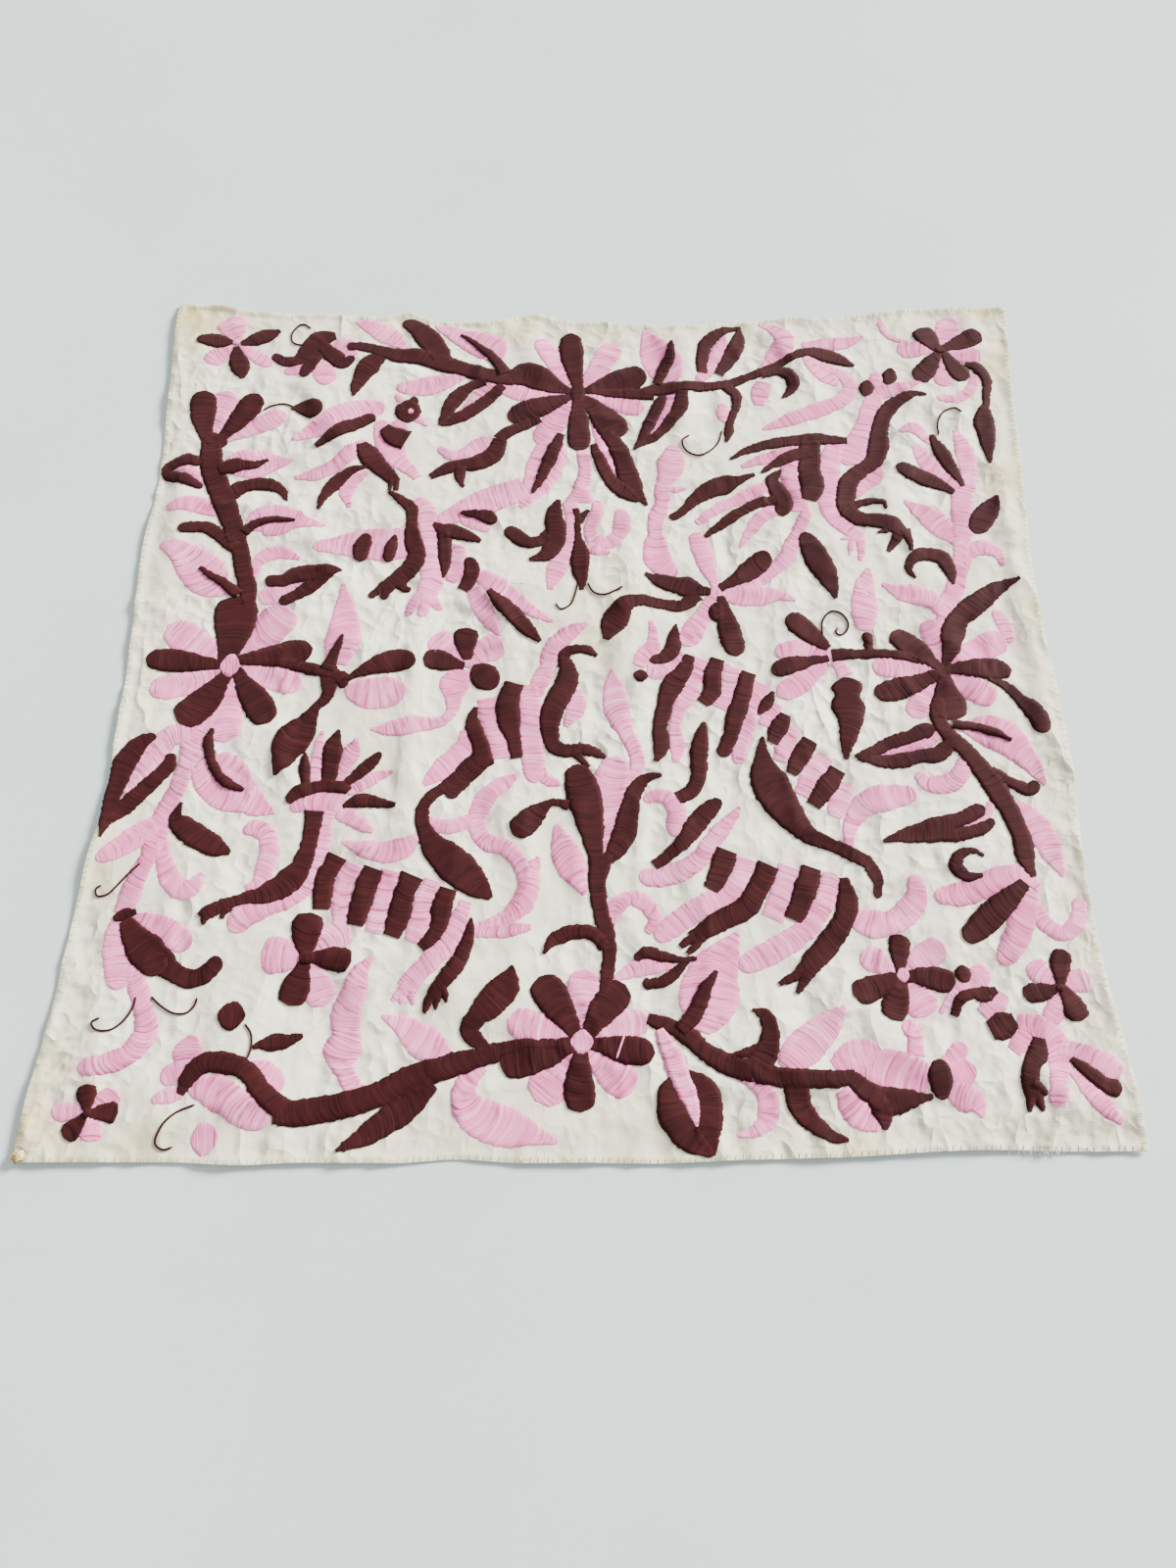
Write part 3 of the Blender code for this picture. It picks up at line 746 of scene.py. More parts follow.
        ("P", "bp", (-25.0, 39.9, 1.2), (-23.4, 38.7, 0.4)),
        ("P", "rr", (-27.0, 39.6, 1.4), (-27.6, 38.0, 2.6), (-27.2, 36.8, 1.6)),
        ("D+", "bb", (-29.6, 38.2, 1.6), (-28.2, 36.8, 3.0), (-26.2, 35.9, 3.2)),
        ("P", "rp", (-29.8, 42.3, 1.4), (-32.6, 41.0, 3.4), (-35.6, 39.4, 4.0), (-38.8, 37.6, 2.8),
         (-42.3, 35.6, 0.4)),
        ("D+", "rp", (-31.0, 40.2, 1.4), (-33.6, 38.4, 1.8), (-36.4, 36.4, 1.8), (-39.0, 34.4, 0.6)),
        ("P", "rb", (-30.2, 39.6, 1.8), (-29.8, 37.4, 2.2), (-28.4, 34.6, 3.4), (-27.2, 32.4, 2.6),
         (-25.8, 31.0, 1.8), (-24.2, 29.2, 1.0)),
        ("P", "rp", (-31.6, 35.6, 1.4), (-34.0, 33.2, 2.0), (-36.2, 30.9, 2.0), (-38.6, 29.7, 1.7),
         (-41.4, 29.3, 0.4)),
        ("D", "bb", (-32.6, 35.2, 1.6), (-31.2, 33.0, 3.0), (-29.6, 31.0, 2.5), (-28.0, 29.4, 1.9),
         (-27.2, 28.4, 1.6)),
        ("D", "bp", (-27.8, 29.0, 0.9), (-28.0, 27.0, 0.4)),
        ("D", "bp", (-27.0, 28.8, 0.9), (-27.1, 27.0, 0.6)),
        ("D", "pp", (-31.4, 31.2, 0.5), (-33.9, 30.0, 1.5), (-35.6, 28.2, 1.9), (-36.8, 26.0, 1.4),
         (-37.5, 23.6, 0.4)),
        ("P", "pp", (-31.2, 30.0, 0.6), (-33.2, 28.8, 1.9), (-33.9, 26.8, 1.9), (-33.3, 24.2, 0.4)),
    ),
    "bird_left_centre": (
        ("P", "rb", (-37.4, 17.2, 1.0), (-34.5, 17.8, 2.6), (-31.0, 18.2, 4.0), (-28.0, 18.1, 4.4),
         (-25.2, 18.6, 4.2)),
        ("D+", "rr", (-30.3, 19.8, 1.0), (-30.9, 17.8, 2.2), (-31.2, 15.4, 1.4)),
        ("D+", "pr", (-26.4, 19.6, 0.4), (-27.0, 17.8, 1.5), (-27.3, 15.4, 1.4)),
        ("D", "pb", (-28.0, 26.9, 0.4), (-26.4, 25.6, 1.3), (-24.7, 24.0, 1.7), (-24.4, 21.5, 1.5),
         (-24.2, 19.0, 2.3), (-23.4, 16.6, 2.4), (-24.2, 14.2, 2.6), (-25.8, 12.7, 2.3),
         (-27.2, 11.5, 1.7)),
        ("D", "br", (-27.2, 11.9, 1.5), (-28.4, 10.7, 1.1), (-29.3, 9.7, 0.9)),
        ("D", "br", (-26.6, 11.6, 1.5), (-27.2, 10.4, 1.0), (-27.6, 9.5, 0.8)),
        ("D", "br", (-25.4, 12.0, 1.5), (-24.6, 11.1, 1.0), (-23.8, 10.8, 0.7)),
        ("P", "rb", (-24.2, 25.7, 1.6), (-22.9, 24.0, 2.3), (-22.2, 21.5, 2.4), (-21.6, 18.5, 2.6),
         (-21.5, 15.5, 2.8), (-21.1, 12.5, 2.6), (-21.6, 10.4, 2.4)),
        ("P", "br", (-22.0, 10.6, 1.6), (-23.2, 8.8, 1.4), (-24.0, 6.8, 0.9)),
        ("P", "br", (-21.6, 10.4, 1.5), (-21.8, 8.4, 1.3), (-22.2, 6.6, 0.9)),
        ("P", "br", (-21.2, 10.2, 1.4), (-20.4, 8.8, 1.1), (-19.5, 8.0, 0.7)),
        ("D", "pp", (-21.5, 21.6, 0.5), (-20.2, 20.8, 1.9), (-18.6, 20.4, 2.3), (-16.8, 19.7, 1.7),
         (-14.8, 18.8, 0.4)),
        ("D", "bp", (-20.2, 20.8, 1.6), (-19.8, 18.5, 1.8), (-19.6, 16.2, 1.8), (-19.5, 14.5, 1.1),
         (-19.7, 13.0, 0.3)),
        ("P", "pb", (-21.4, 21.8, 0.8), (-18.6, 23.3, 2.6), (-15.5, 24.9, 3.8), (-12.5, 26.4, 3.8),
         (-9.2, 28.0, 3.2)),
        ("D+", "pr", (-17.9, 23.4, 0.4), (-16.0, 23.3, 1.1), (-14.2, 22.9, 2.0), (-12.8, 22.3, 1.5)),
        ("P", "rr", (-17.7, 22.3, 1.0), (-15.5, 21.7, 1.5), (-13.7, 20.8, 1.2)),
        ("P", "rr", (-17.8, 18.4, 1.2), (-17.9, 16.0, 2.1), (-18.2, 13.8, 2.7), (-18.0, 12.2, 1.8)),
        ("D", "rb", (-16.5, 16.3, 1.0), (-15.9, 14.6, 2.0), (-16.1, 12.6, 2.1), (-16.9, 10.9, 1.5)),
        ("P", "bp", (-14.8, 13.4, 1.8), (-12.4, 11.4, 2.5), (-9.5, 9.3, 2.0), (-6.8, 7.2, 1.2),
         (-4.7, 6.3, 0.3)),
        ("P", "bp", (-15.4, 11.4, 1.8), (-14.6, 8.9, 2.2), (-13.2, 6.5, 1.9), (-11.6, 3.9, 0.4)),
        ("D+", "pp", (-13.4, 10.7, 0.7), (-11.9, 9.1, 1.8), (-9.7, 6.8, 2.2), (-8.0, 4.9, 1.8),
         (-6.3, 3.1, 0.4)),
    ),
    "centre_plume": (
        ("D", "pb", (-4.4, 25.9, 0.5), (-5.0, 23.5, 2.2), (-4.7, 21.0, 2.6), (-4.9, 18.6, 2.6),
         (-6.0, 16.8, 1.9), (-8.2, 16.0, 0.6)),
        ("D", "rb", (-11.6, 21.2, 1.6), (-10.3, 20.1, 2.2), (-8.6, 18.9, 1.9), (-7.0, 19.0, 1.6),
         (-5.7, 20.4, 1.3)),
        ("P", "bp", (-2.8, 25.5, 2.0), (-2.7, 22.5, 1.3), (-2.9, 19.5, 1.2), (-3.7, 16.8, 2.2),
         (-4.7, 13.8, 2.2), (-5.3, 11.2, 0.6)),
        ("D", "bp", (-2.0, 24.3, 0.8), (-1.7, 22.5, 0.8), (-1.6, 20.0, 0.9), (-1.3, 17.4, 2.2),
         (-1.3, 15.4, 2.4), (-1.1, 13.0, 1.5), (-1.0, 11.3, 0.4)),
        ("D", "pb", (-0.2, 24.0, 0.4), (-0.9, 23.3, 0.9), (-1.6, 22.2, 1.0)),
        ("P", "rr", (0.9, 25.8, 1.2), (0.8, 23.3, 1.7), (0.0, 21.0, 1.6), (0.6, 19.2, 1.9),
         (2.4, 18.9, 1.8),
         (4.0, 20.3, 2.0), (4.4, 22.5, 2.1), (3.9, 24.4, 1.2)),
        ("P", "rp", (-0.4, 18.6, 1.0), (0.8, 17.6, 1.4), (2.7, 17.3, 0.4)),
        ("P", "rr", (11.7, 35.6, 1.4), (11.3, 32.3, 3.6), (10.6, 29.9, 2.4), (10.0, 27.6, 1.9),
         (9.9, 25.4, 1.9), (9.0, 22.6, 2.0), (9.0, 20.3, 1.9), (8.9, 18.2, 2.9), (9.2, 16.3, 3.4),
         (10.3, 14.8, 2.6), (11.8, 13.8, 1.4)),
        ("P", "bp", (10.6, 28.2, 1.0), (11.9, 28.0, 0.9), (13.4, 28.2, 0.3)),
        ("P", "petal", 16.9, 12.0, 14.4, 20.9, 2.5),
        ("D", "petal", 17.9, 12.0, 24.3, 17.4, 2.8),
        ("D", "petal", 17.6, 9.9, 19.4, 1.4, 3.0),
        ("D", "rr", (17.4, 9.4, 1.2), (16.8, 8.0, 1.9), (17.6, 6.8, 1.2)),
        ("P", "petal", 16.2, 10.4, 12.4, 2.8, 2.5),
        ("P", "rr", (16.0, 10.9, 1.0), (16.9, 11.0, 2.0), (18.0, 11.0, 1.2)),
        ("P", "bp", (17.6, 10.8, 1.4), (20.0, 10.6, 2.6), (22.4, 10.7, 2.9), (25.0, 10.6, 1.8),
         (27.4, 9.8, 0.4)),
        ("P", "pb", (29.9, 24.2, 1.2), (28.7, 21.5, 1.6), (27.4, 18.6, 1.9), (26.4, 16.5, 1.9),
         (24.4, 14.8, 1.9), (22.0, 12.9, 2.2), (20.4, 11.8, 1.8)),
        ("D", "bp", (16.2, 11.2, 0.9), (14.9, 11.3, 1.6), (13.3, 11.8, 2.8), (11.2, 12.3, 2.3),
         (9.2, 13.0, 1.8), (7.4, 13.8, 0.4)),
        ("D", "bp", (14.4, 10.8, 2.2), (12.4, 9.1, 1.6), (9.0, 9.3, 1.6), (6.5, 9.5, 1.7), (4.7, 8.7, 2.4),
         (3.6, 6.9, 3.5), (2.8, 5.0, 2.6), (2.2, 3.4, 0.6)),
    ),
    "upper_right_branch": (
        ("D", "rp", (7.2, 45.2, 1.2), (9.6, 45.4, 2.2), (12.6, 45.6, 1.8), (16.2, 45.9, 1.7),
         (19.5, 46.6, 1.5),
         (22.5, 48.0, 1.3), (25.0, 49.2, 1.4), (28.0, 50.9, 1.3), (30.6, 52.2, 1.2)),
        ("P", "pp", (7.6, 56.8, 0.3), (8.8, 54.0, 3.4), (9.9, 51.0, 4.8), (11.0, 48.6, 4.4),
         (11.8, 46.8, 2.4)),
        ("D+", "bp", (9.4, 46.4, 1.2), (10.4, 48.9, 1.7), (11.3, 51.4, 1.5), (11.6, 54.4, 0.4)),
        ("D", "pb", (22.0, 57.4, 0.4), (19.0, 56.2, 1.5), (16.8, 54.0, 1.9), (16.1, 51.2, 1.8),
         (16.0, 48.4, 1.4)),
        ("D", "pb", (21.8, 57.2, 0.5), (21.6, 55.0, 1.9), (20.8, 52.6, 2.3), (19.5, 50.4, 1.8),
         (18.4, 48.4, 1.2)),
        ("P", "pb", (19.6, 55.6, 0.4), (18.9, 53.4, 1.6), (17.9, 51.2, 2.0), (16.6, 48.8, 1.8),
         (15.4, 46.8, 1.0)),
        ("P", "pp", (24.8, 58.2, 0.4), (27.2, 57.0, 1.9), (28.4, 54.8, 2.8), (27.2, 52.2, 2.8),
         (24.2, 49.0, 0.5)),
        ("D", "bp", (24.6, 48.3, 1.3), (26.4, 49.2, 1.7), (28.6, 48.5, 1.8), (29.3, 46.6, 1.7),
         (27.6, 44.2, 0.4)),
        ("P", "bp", (25.0, 47.0, 1.8), (24.4, 45.2, 2.4), (24.2, 43.0, 1.2)),
        ("D", "bp", (19.6, 46.2, 1.8), (20.8, 44.6, 1.6), (20.8, 42.8, 1.2), (20.0, 40.4, 1.0),
         (19.6, 38.4, 1.3),
         (19.2, 36.2, 0.4)),
        ("P", "rr", (18.6, 43.0, 1.2), (19.0, 41.2, 1.9), (19.2, 39.6, 1.0)),
        ("D", "rp", (10.4, 44.4, 1.0), (9.4, 42.0, 1.8), (8.4, 39.6, 1.7), (7.4, 37.2, 1.2),
         (6.0, 34.6, 0.4)),
        ("D", "bp", (13.0, 44.8, 1.6), (12.8, 42.4, 2.2), (11.6, 40.2, 1.7), (9.6, 37.6, 1.3),
         (6.4, 34.9, 0.5)),
        ("P", "bp", (11.6, 44.6, 1.4), (11.0, 42.0, 1.5), (10.0, 39.8, 0.9), (8.3, 37.0, 0.3)),
        ("D", "rr", (29.6, 52.2, 1.4), (31.5, 52.4, 1.6)),
        ("D", "bp", (31.0, 52.6, 1.2), (33.4, 52.5, 2.2), (36.0, 51.8, 2.0), (38.5, 50.5, 0.4)),
        ("P", "bp", (30.9, 53.9, 1.0), (33.8, 54.4, 1.9), (37.4, 55.0, 1.9), (40.2, 56.2, 0.4)),
        ("P", "bp", (31.2, 51.5, 1.4), (33.0, 49.6, 2.5), (34.8, 47.8, 2.2), (35.9, 46.8, 0.5)),
        ("P", "pp", (32.6, 50.9, 0.8), (36.1, 49.1, 1.6), (37.6, 46.6, 1.9), (36.2, 44.2, 2.0),
         (32.9, 42.3, 2.1),
         (30.0, 41.0, 2.1), (27.2, 39.8, 1.6), (24.5, 38.6, 0.4)),
    ),
    "bird_upper_right": (
        ("D", "rr", (39.6, 44.9, 1.2), (39.9, 46.2, 2.1), (40.2, 47.8, 1.1)),
        ("P", "rr", (41.2, 46.6, 1.0), (41.4, 47.9, 1.7), (41.6, 49.3, 0.9)),
        ("D", "rr", (43.1, 47.0, 1.1), (43.4, 48.4, 2.0), (43.7, 50.0, 1.0)),
        ("P", "rp", (40.4, 45.0, 1.4), (42.4, 45.8, 2.0), (45.0, 46.6, 1.7), (47.9, 47.4, 0.4)),
        ("P", "br", (41.2, 45.4, 2.0), (40.2, 42.5, 2.6), (39.4, 39.6, 2.8), (38.4, 37.0, 3.3),
         (37.0, 34.8, 4.0),
         (35.8, 32.4, 2.4)),
        ("D", "pb", (48.4, 44.9, 0.4), (46.6, 45.1, 1.1), (44.8, 44.3, 1.7), (43.2, 43.1, 2.1),
         (41.9, 41.0, 2.2),
         (41.0, 38.0, 2.4), (40.6, 35.4, 2.8), (39.8, 33.2, 2.4), (37.8, 31.4, 2.1), (36.0, 29.4, 2.6),
         (35.5, 27.0, 2.6), (35.3, 25.0, 2.4), (36.7, 23.6, 2.3), (39.3, 23.0, 2.2), (41.6, 22.1, 2.5),
         (42.9, 20.6, 1.8)),
        ("D", "bp", (43.0, 21.6, 1.7), (43.5, 20.0, 1.1), (43.6, 18.0, 0.4)),
        ("D", "bp", (42.2, 20.8, 1.6), (41.4, 19.4, 1.1), (40.5, 17.9, 0.4)),
        ("D", "bp", (41.2, 22.0, 1.6), (40.4, 21.3, 0.9), (39.3, 20.9, 0.4)),
        ("D", "bp", (35.9, 25.0, 1.3), (37.8, 26.1, 1.1), (39.6, 26.3, 0.9), (40.6, 25.8, 0.7),
         (40.8, 24.8, 0.4)),
        ("D", "pb", (19.6, 33.1, 0.4), (22.5, 34.9, 1.2), (25.5, 35.9, 1.6), (29.0, 36.6, 1.8),
         (32.5, 36.9, 1.9),
         (36.4, 36.8, 1.0)),
        ("P", "pb", (21.2, 31.8, 0.5), (24.0, 33.0, 1.5), (27.2, 34.3, 1.6), (30.6, 35.2, 1.0)),
        ("D", "pb", (23.8, 30.7, 0.4), (26.0, 32.4, 1.4), (28.8, 33.9, 1.8), (31.0, 34.6, 2.2)),
        ("D", "bb", (31.0, 36.6, 2.8), (30.9, 34.0, 2.9), (30.6, 31.0, 3.0), (30.8, 28.4, 3.3),
         (30.1, 26.0, 1.8)),
        ("P", "bb", (34.6, 36.2, 2.2), (33.8, 33.6, 2.6), (33.2, 31.0, 2.9), (33.2, 28.4, 2.7),
         (33.0, 25.6, 2.8),
         (33.7, 23.3, 2.4), (35.2, 21.8, 1.8), (36.6, 20.6, 1.8)),
        ("P", "bp", (36.6, 21.0, 1.5), (36.9, 18.8, 1.0), (36.6, 16.4, 0.4)),
        ("P", "bp", (36.4, 20.6, 1.2), (35.4, 20.2, 0.8), (34.2, 19.9, 0.3)),
        ("P", "bp", (36.2, 20.4, 1.0), (35.6, 18.9, 0.8), (35.2, 17.3, 0.3)),
        ("P", "rp", (40.8, 32.2, 1.4), (39.4, 30.6, 2.6), (38.1, 29.0, 1.9), (36.9, 26.9, 0.4)),
        ("D", "rp", (11.0, 22.9, 1.2), (12.8, 24.3, 1.4), (14.6, 26.4, 1.9), (16.8, 28.0, 2.8),
         (19.0, 28.9, 2.8),
         (20.9, 29.6, 1.4), (22.9, 30.4, 0.4)),
        ("P", "pb", (14.6, 22.2, 0.8), (17.0, 24.3, 1.4), (20.0, 26.0, 1.5), (23.0, 27.6, 1.7),
         (24.6, 28.3, 1.4)),
        ("D", "pb", (15.6, 20.1, 0.4), (18.0, 22.0, 1.3), (20.5, 24.0, 1.6), (23.0, 25.5, 1.5),
         (25.6, 26.4, 1.4)),
        ("P", "pb", (20.4, 18.4, 0.4), (22.0, 21.2, 1.3), (23.6, 23.3, 1.7), (25.6, 24.9, 1.9)),
        ("D", "pr", (26.6, 31.2, 0.5), (25.4, 29.2, 1.9), (26.2, 27.4, 2.3), (26.8, 25.6, 2.3),
         (26.0, 23.6, 1.6)),
        ("P", "bb", (28.6, 33.2, 1.8), (27.9, 31.0, 2.4), (28.0, 28.6, 2.0), (28.7, 26.6, 1.9),
         (28.9, 24.2, 2.2)),
        ("D", "rp", (29.0, 20.9, 1.2), (29.8, 18.9, 2.8), (31.0, 16.1, 3.4), (32.1, 13.2, 2.4),
         (32.8, 10.1, 0.4)),
    ),
    "corner_flower_upper_right": (
        ("D", "petal", 50.9, 53.9, 48.7, 57.8, 3.5),
        ("P", "petal", 51.6, 54.2, 53.9, 59.8, 3.0),
        ("D", "petal", 51.9, 53.9, 57.8, 56.9, 3.0),
        ("P", "petal", 52.1, 53.5, 57.3, 52.4, 2.8),
        ("D", "petal", 51.8, 53.1, 54.6, 47.9, 2.8),
        ("P", "petal", 51.4, 53.0, 51.1, 46.7, 2.6),
        ("D", "petal", 51.0, 53.1, 47.2, 47.8, 2.8),
        ("P", "petal", 50.8, 53.7, 45.1, 53.4, 3.0),
        ("D+", "rr", (50.7, 53.6, 1.4), (52.1, 53.6, 1.4)),
        ("P", "rr", (42.8, 59.3, 0.8), (43.4, 57.4, 0.8), (44.8, 55.8, 0.8), (47.0, 55.2, 0.6)),
        ("D", "pb", (54.8, 51.1, 0.8), (56.4, 50.4, 1.7), (57.4, 48.0, 1.4), (57.2, 45.2, 1.1),
         (56.7, 42.8, 1.0)),
        ("D", "bp", (56.7, 43.2, 1.2), (56.2, 40.6, 2.6), (56.3, 37.6, 2.4), (56.2, 33.0, 0.4)),
        ("P", "rr", (56.0, 49.0, 1.1), (55.2, 46.5, 1.3), (53.2, 44.5, 1.3), (49.8, 44.3, 1.2)),
    ),
    "right_plant": (
        ("P", "pp", (43.9, 38.3, 0.5), (46.0, 38.8, 2.0), (48.2, 36.5, 0.6)),
        ("D", "pp", (48.4, 38.0, 0.6), (49.4, 35.0, 2.0), (50.6, 32.0, 1.7), (52.0, 29.0, 0.7)),
        ("P", "pb", (45.9, 35.8, 1.2), (47.4, 33.0, 2.4), (49.4, 30.6, 1.6), (51.2, 28.7, 1.2)),
        ("P", "pb", (52.0, 38.6, 0.8), (52.8, 34.6, 2.4), (53.0, 31.4, 2.2), (52.4, 28.4, 2.0)),
        ("D", "rb", (42.7, 32.0, 1.6), (44.5, 31.3, 2.4), (47.0, 30.1, 2.4), (49.3, 28.8, 1.5),
         (50.6, 27.9, 0.8)),
        ("P", "bp", (51.8, 28.6, 2.8), (51.3, 25.0, 2.6), (51.0, 21.5, 2.2), (50.4, 18.0, 2.0),
         (49.6, 14.5, 2.0),
         (48.6, 11.5, 2.1), (47.2, 9.0, 2.2), (46.2, 6.4, 0.6)),
        ("P", "pb", (43.5, 26.4, 0.4), (45.5, 24.8, 2.2), (47.6, 22.9, 3.2), (49.3, 20.9, 2.6),
         (50.2, 19.0, 1.2)),
        ("P", "bp", (50.9, 15.2, 0.6), (51.5, 17.6, 1.4), (53.0, 18.6, 2.0), (54.8, 18.2, 1.9),
         (55.9, 15.8, 0.5)),
        ("D", "pp", (48.7, 12.6, 0.4), (48.4, 15.2, 1.8), (47.2, 17.2, 2.3), (45.3, 17.6, 2.1),
         (43.6, 16.6, 1.6),
         (42.9, 15.0, 1.0), (43.8, 13.6, 0.4)),
        ("D", "pr", (56.4, 27.2, 0.4), (55.0, 25.0, 2.6), (53.7, 23.0, 3.0), (52.6, 20.9, 1.8)),
        ("P", "pb", (39.2, 12.8, 0.4), (41.5, 11.5, 2.2), (44.0, 10.8, 2.7), (45.8, 9.8, 2.4),
         (46.8, 7.8, 1.4)),
        ("D", "pp", (57.6, 13.7, 0.4), (55.2, 12.6, 1.7), (53.0, 11.0, 2.4), (50.8, 9.2, 2.9),
         (48.7, 7.2, 2.6),
         (47.7, 5.0, 3.1), (47.2, 2.8, 2.4), (46.2, 0.2, 0.8)),
        ("P", "pr", (37.7, 15.2, 0.4), (36.8, 12.5, 2.2), (36.5, 9.5, 3.0), (36.4, 7.4, 2.8),
         (36.5, 5.4, 1.8)),
        ("D", "rb", (36.5, 5.3, 1.4), (36.6, 3.9, 1.2), (36.6, 2.4, 1.2)),
        ("D", "bb", (31.7, 1.8, 1.7), (35.0, 2.0, 1.4), (38.5, 2.0, 1.3), (41.2, 1.6, 1.2),
         (43.6, 0.8, 1.0)),
        ("D", "petal", 45.3, 0.2, 39.8, 5.3, 3.2),
        ("P", "petal", 45.7, 0.4, 44.7, 7.2, 2.6),
        ("P", "petal", 47.0, 0.4, 54.8, 4.6, 3.3),
        ("P", "rr", (53.8, 8.9, 1.4), (54.7, 6.6, 1.8), (55.5, 4.0, 1.0)),
        ("D", "petal", 46.7, -0.3, 54.9, -0.2, 3.0),
        ("P", "petal", 45.0, -0.2, 36.8, 0.2, 2.9),
        ("D", "petal", 45.3, -0.9, 36.7, -4.0, 2.9),
        ("P", "petal", 45.4, -1.4, 41.4, -7.3, 2.7),
        ("D", "petal", 46.0, -1.3, 46.6, -7.6, 4.0),
        ("P", "petal", 46.8, -1.3, 52.3, -4.5, 3.3),
        ("D", "rr", (45.0, -0.4, 1.4), (46.9, -0.4, 1.4)),
        ("D", "pr", (51.6, -1.5, 0.6), (53.8, -2.6, 1.4), (55.3, -4.4, 1.6), (56.6, -6.0, 2.3),
         (57.5, -8.0, 2.2),
         (57.6, -9.4, 1.6)),
        ("D", "rp", (45.0, -4.2, 1.6), (44.5, -6.8, 1.9), (45.4, -9.4, 2.0), (47.4, -11.7, 2.1),
         (49.4, -14.5, 2.4),
         (51.0, -17.5, 2.7), (52.2, -20.5, 2.4), (53.0, -23.5, 2.2), (53.1, -26.0, 2.2),
         (53.8, -28.5, 0.6)),
        ("D", "pr", (33.5, -12.9, 0.4), (36.0, -12.0, 1.4), (38.8, -10.6, 1.7), (41.0, -9.9, 1.6),
         (42.8, -9.1, 2.0), (43.9, -8.9, 1.4)),
        ("D", "pb", (33.8, -13.1, 0.4), (36.5, -13.4, 1.6), (39.5, -13.2, 1.9), (42.0, -12.6, 1.6),
         (44.3, -12.2, 2.0), (45.6, -10.8, 1.6)),
        ("P", "pb", (35.8, -12.8, 0.4), (39.5, -11.6, 1.0), (42.5, -10.8, 1.3), (44.5, -9.6, 1.1)),
        ("P", "rb", (41.2, -14.8, 1.0), (42.4, -16.3, 2.0), (44.6, -16.4, 2.4), (46.6, -15.0, 2.0),
         (47.5, -12.9, 1.5)),
        ("P", "bp", (47.4, -8.6, 1.0), (50.0, -8.9, 3.6), (52.6, -9.9, 4.2), (54.4, -11.8, 3.2),
         (55.8, -14.0, 2.0),
         (56.9, -16.4, 0.4)),
        ("D+", "bp", (46.2, -8.1, 1.2), (48.8, -8.5, 1.1), (51.0, -9.1, 1.2), (53.5, -10.3, 0.4)),
        ("D", "br", (50.4, -14.4, 1.4), (53.0, -16.2, 1.5), (55.0, -17.0, 1.7), (56.0, -15.9, 1.2)),
        ("P", "pp", (53.3, -18.6, 0.6), (54.9, -21.2, 2.6), (56.0, -24.0, 2.8), (56.8, -26.4, 1.8),
         (57.4, -28.4, 0.4)),
        ("D", "pb", (36.0, -24.2, 0.4), (38.8, -23.4, 1.7), (41.6, -22.8, 2.8), (44.0, -22.4, 3.2),
         (44.9, -22.4, 3.3)),
        ("D", "br", (44.4, -21.7, 1.8), (46.4, -20.9, 1.7), (48.0, -20.0, 1.8), (49.0, -19.4, 1.2)),
        ("D", "br", (44.6, -23.3, 1.7), (47.2, -22.7, 1.6), (48.8, -22.1, 1.4), (49.9, -21.0, 0.8)),
        ("P", "pb", (44.8, -22.5, 0.4), (47.2, -21.9, 0.7), (49.0, -20.8, 0.8), (49.9, -18.9, 0.9)),
        ("D", "pp", (48.1, -25.9, 0.3), (47.0, -25.2, 0.6), (45.3, -25.7, 1.2), (44.6, -27.1, 1.7),
         (45.4, -28.3, 1.5),
         (47.7, -28.3, 0.4)),
    ),
    "right_lower_plant": (
        ("P", "rp", (41.6, -31.0, 1.4), (44.0, -30.8, 2.6), (47.0, -29.9, 2.7), (50.0, -28.7, 2.7),
         (52.6, -28.4, 2.2), (54.2, -30.2, 0.8)),
        ("D+", "br", (52.5, -29.3, 1.3), (50.4, -31.3, 2.4), (48.0, -33.3, 3.0), (46.0, -35.2, 2.6),
         (44.5, -36.3, 1.6)),
        ("P", "br", (53.2, -30.2, 1.6), (52.2, -32.5, 2.8), (51.0, -35.2, 2.7), (49.6, -37.8, 2.4),
         (48.4, -39.1, 1.4)),
        ("P", "br", (53.3, -31.8, 1.2), (54.2, -34.2, 1.9), (56.2, -35.5, 1.6), (57.9, -34.4, 1.7),
         (58.6, -32.6, 1.7), (58.9, -31.0, 1.2)),
    ),
    "small_flower_right": (
        ("D", "petal", 36.8, -40.3, 37.0, -35.8, 2.4),
        ("P", "petal", 37.2, -40.3, 42.0, -36.9, 2.8),
        ("D", "petal", 37.4, -40.8, 42.9, -41.6, 2.8),
        ("P", "petal", 37.2, -41.0, 39.4, -45.4, 3.4),
        ("D", "petal", 36.8, -41.0, 35.1, -45.9, 3.0),
        ("D", "petal", 36.5, -40.8, 30.9, -43.2, 2.9),
        ("P", "petal", 36.4, -40.5, 32.3, -38.1, 2.7),
        ("P+", "rr", (36.2, -40.7, 1.0), (37.0, -40.7, 1.5), (37.7, -40.7, 1.0)),
    ),
    "small_flower_far_right": (
        ("D", "petal", 55.0, -41.7, 56.0, -37.4, 2.3),
        ("P", "petal", 55.3, -41.9, 58.6, -40.8, 2.4),
        ("D", "petal", 55.1, -42.1, 56.8, -45.8, 2.7),
        ("P", "petal", 54.8, -42.2, 53.1, -45.9, 2.1),
        ("D", "petal", 54.6, -42.0, 50.5, -42.9, 2.2),
        ("P", "petal", 54.6, -41.8, 51.9, -38.9, 2.5),
        ("D+", "rr", (54.4, -42.0, 0.9), (55.4, -42.0, 0.9)),
    ),
    "bottom_flower": (
        ("P", "petal", -0.1, -47.9, 0.2, -40.4, 3.3),
        ("D", "petal", 0.4, -48.1, 4.8, -42.2, 3.5),
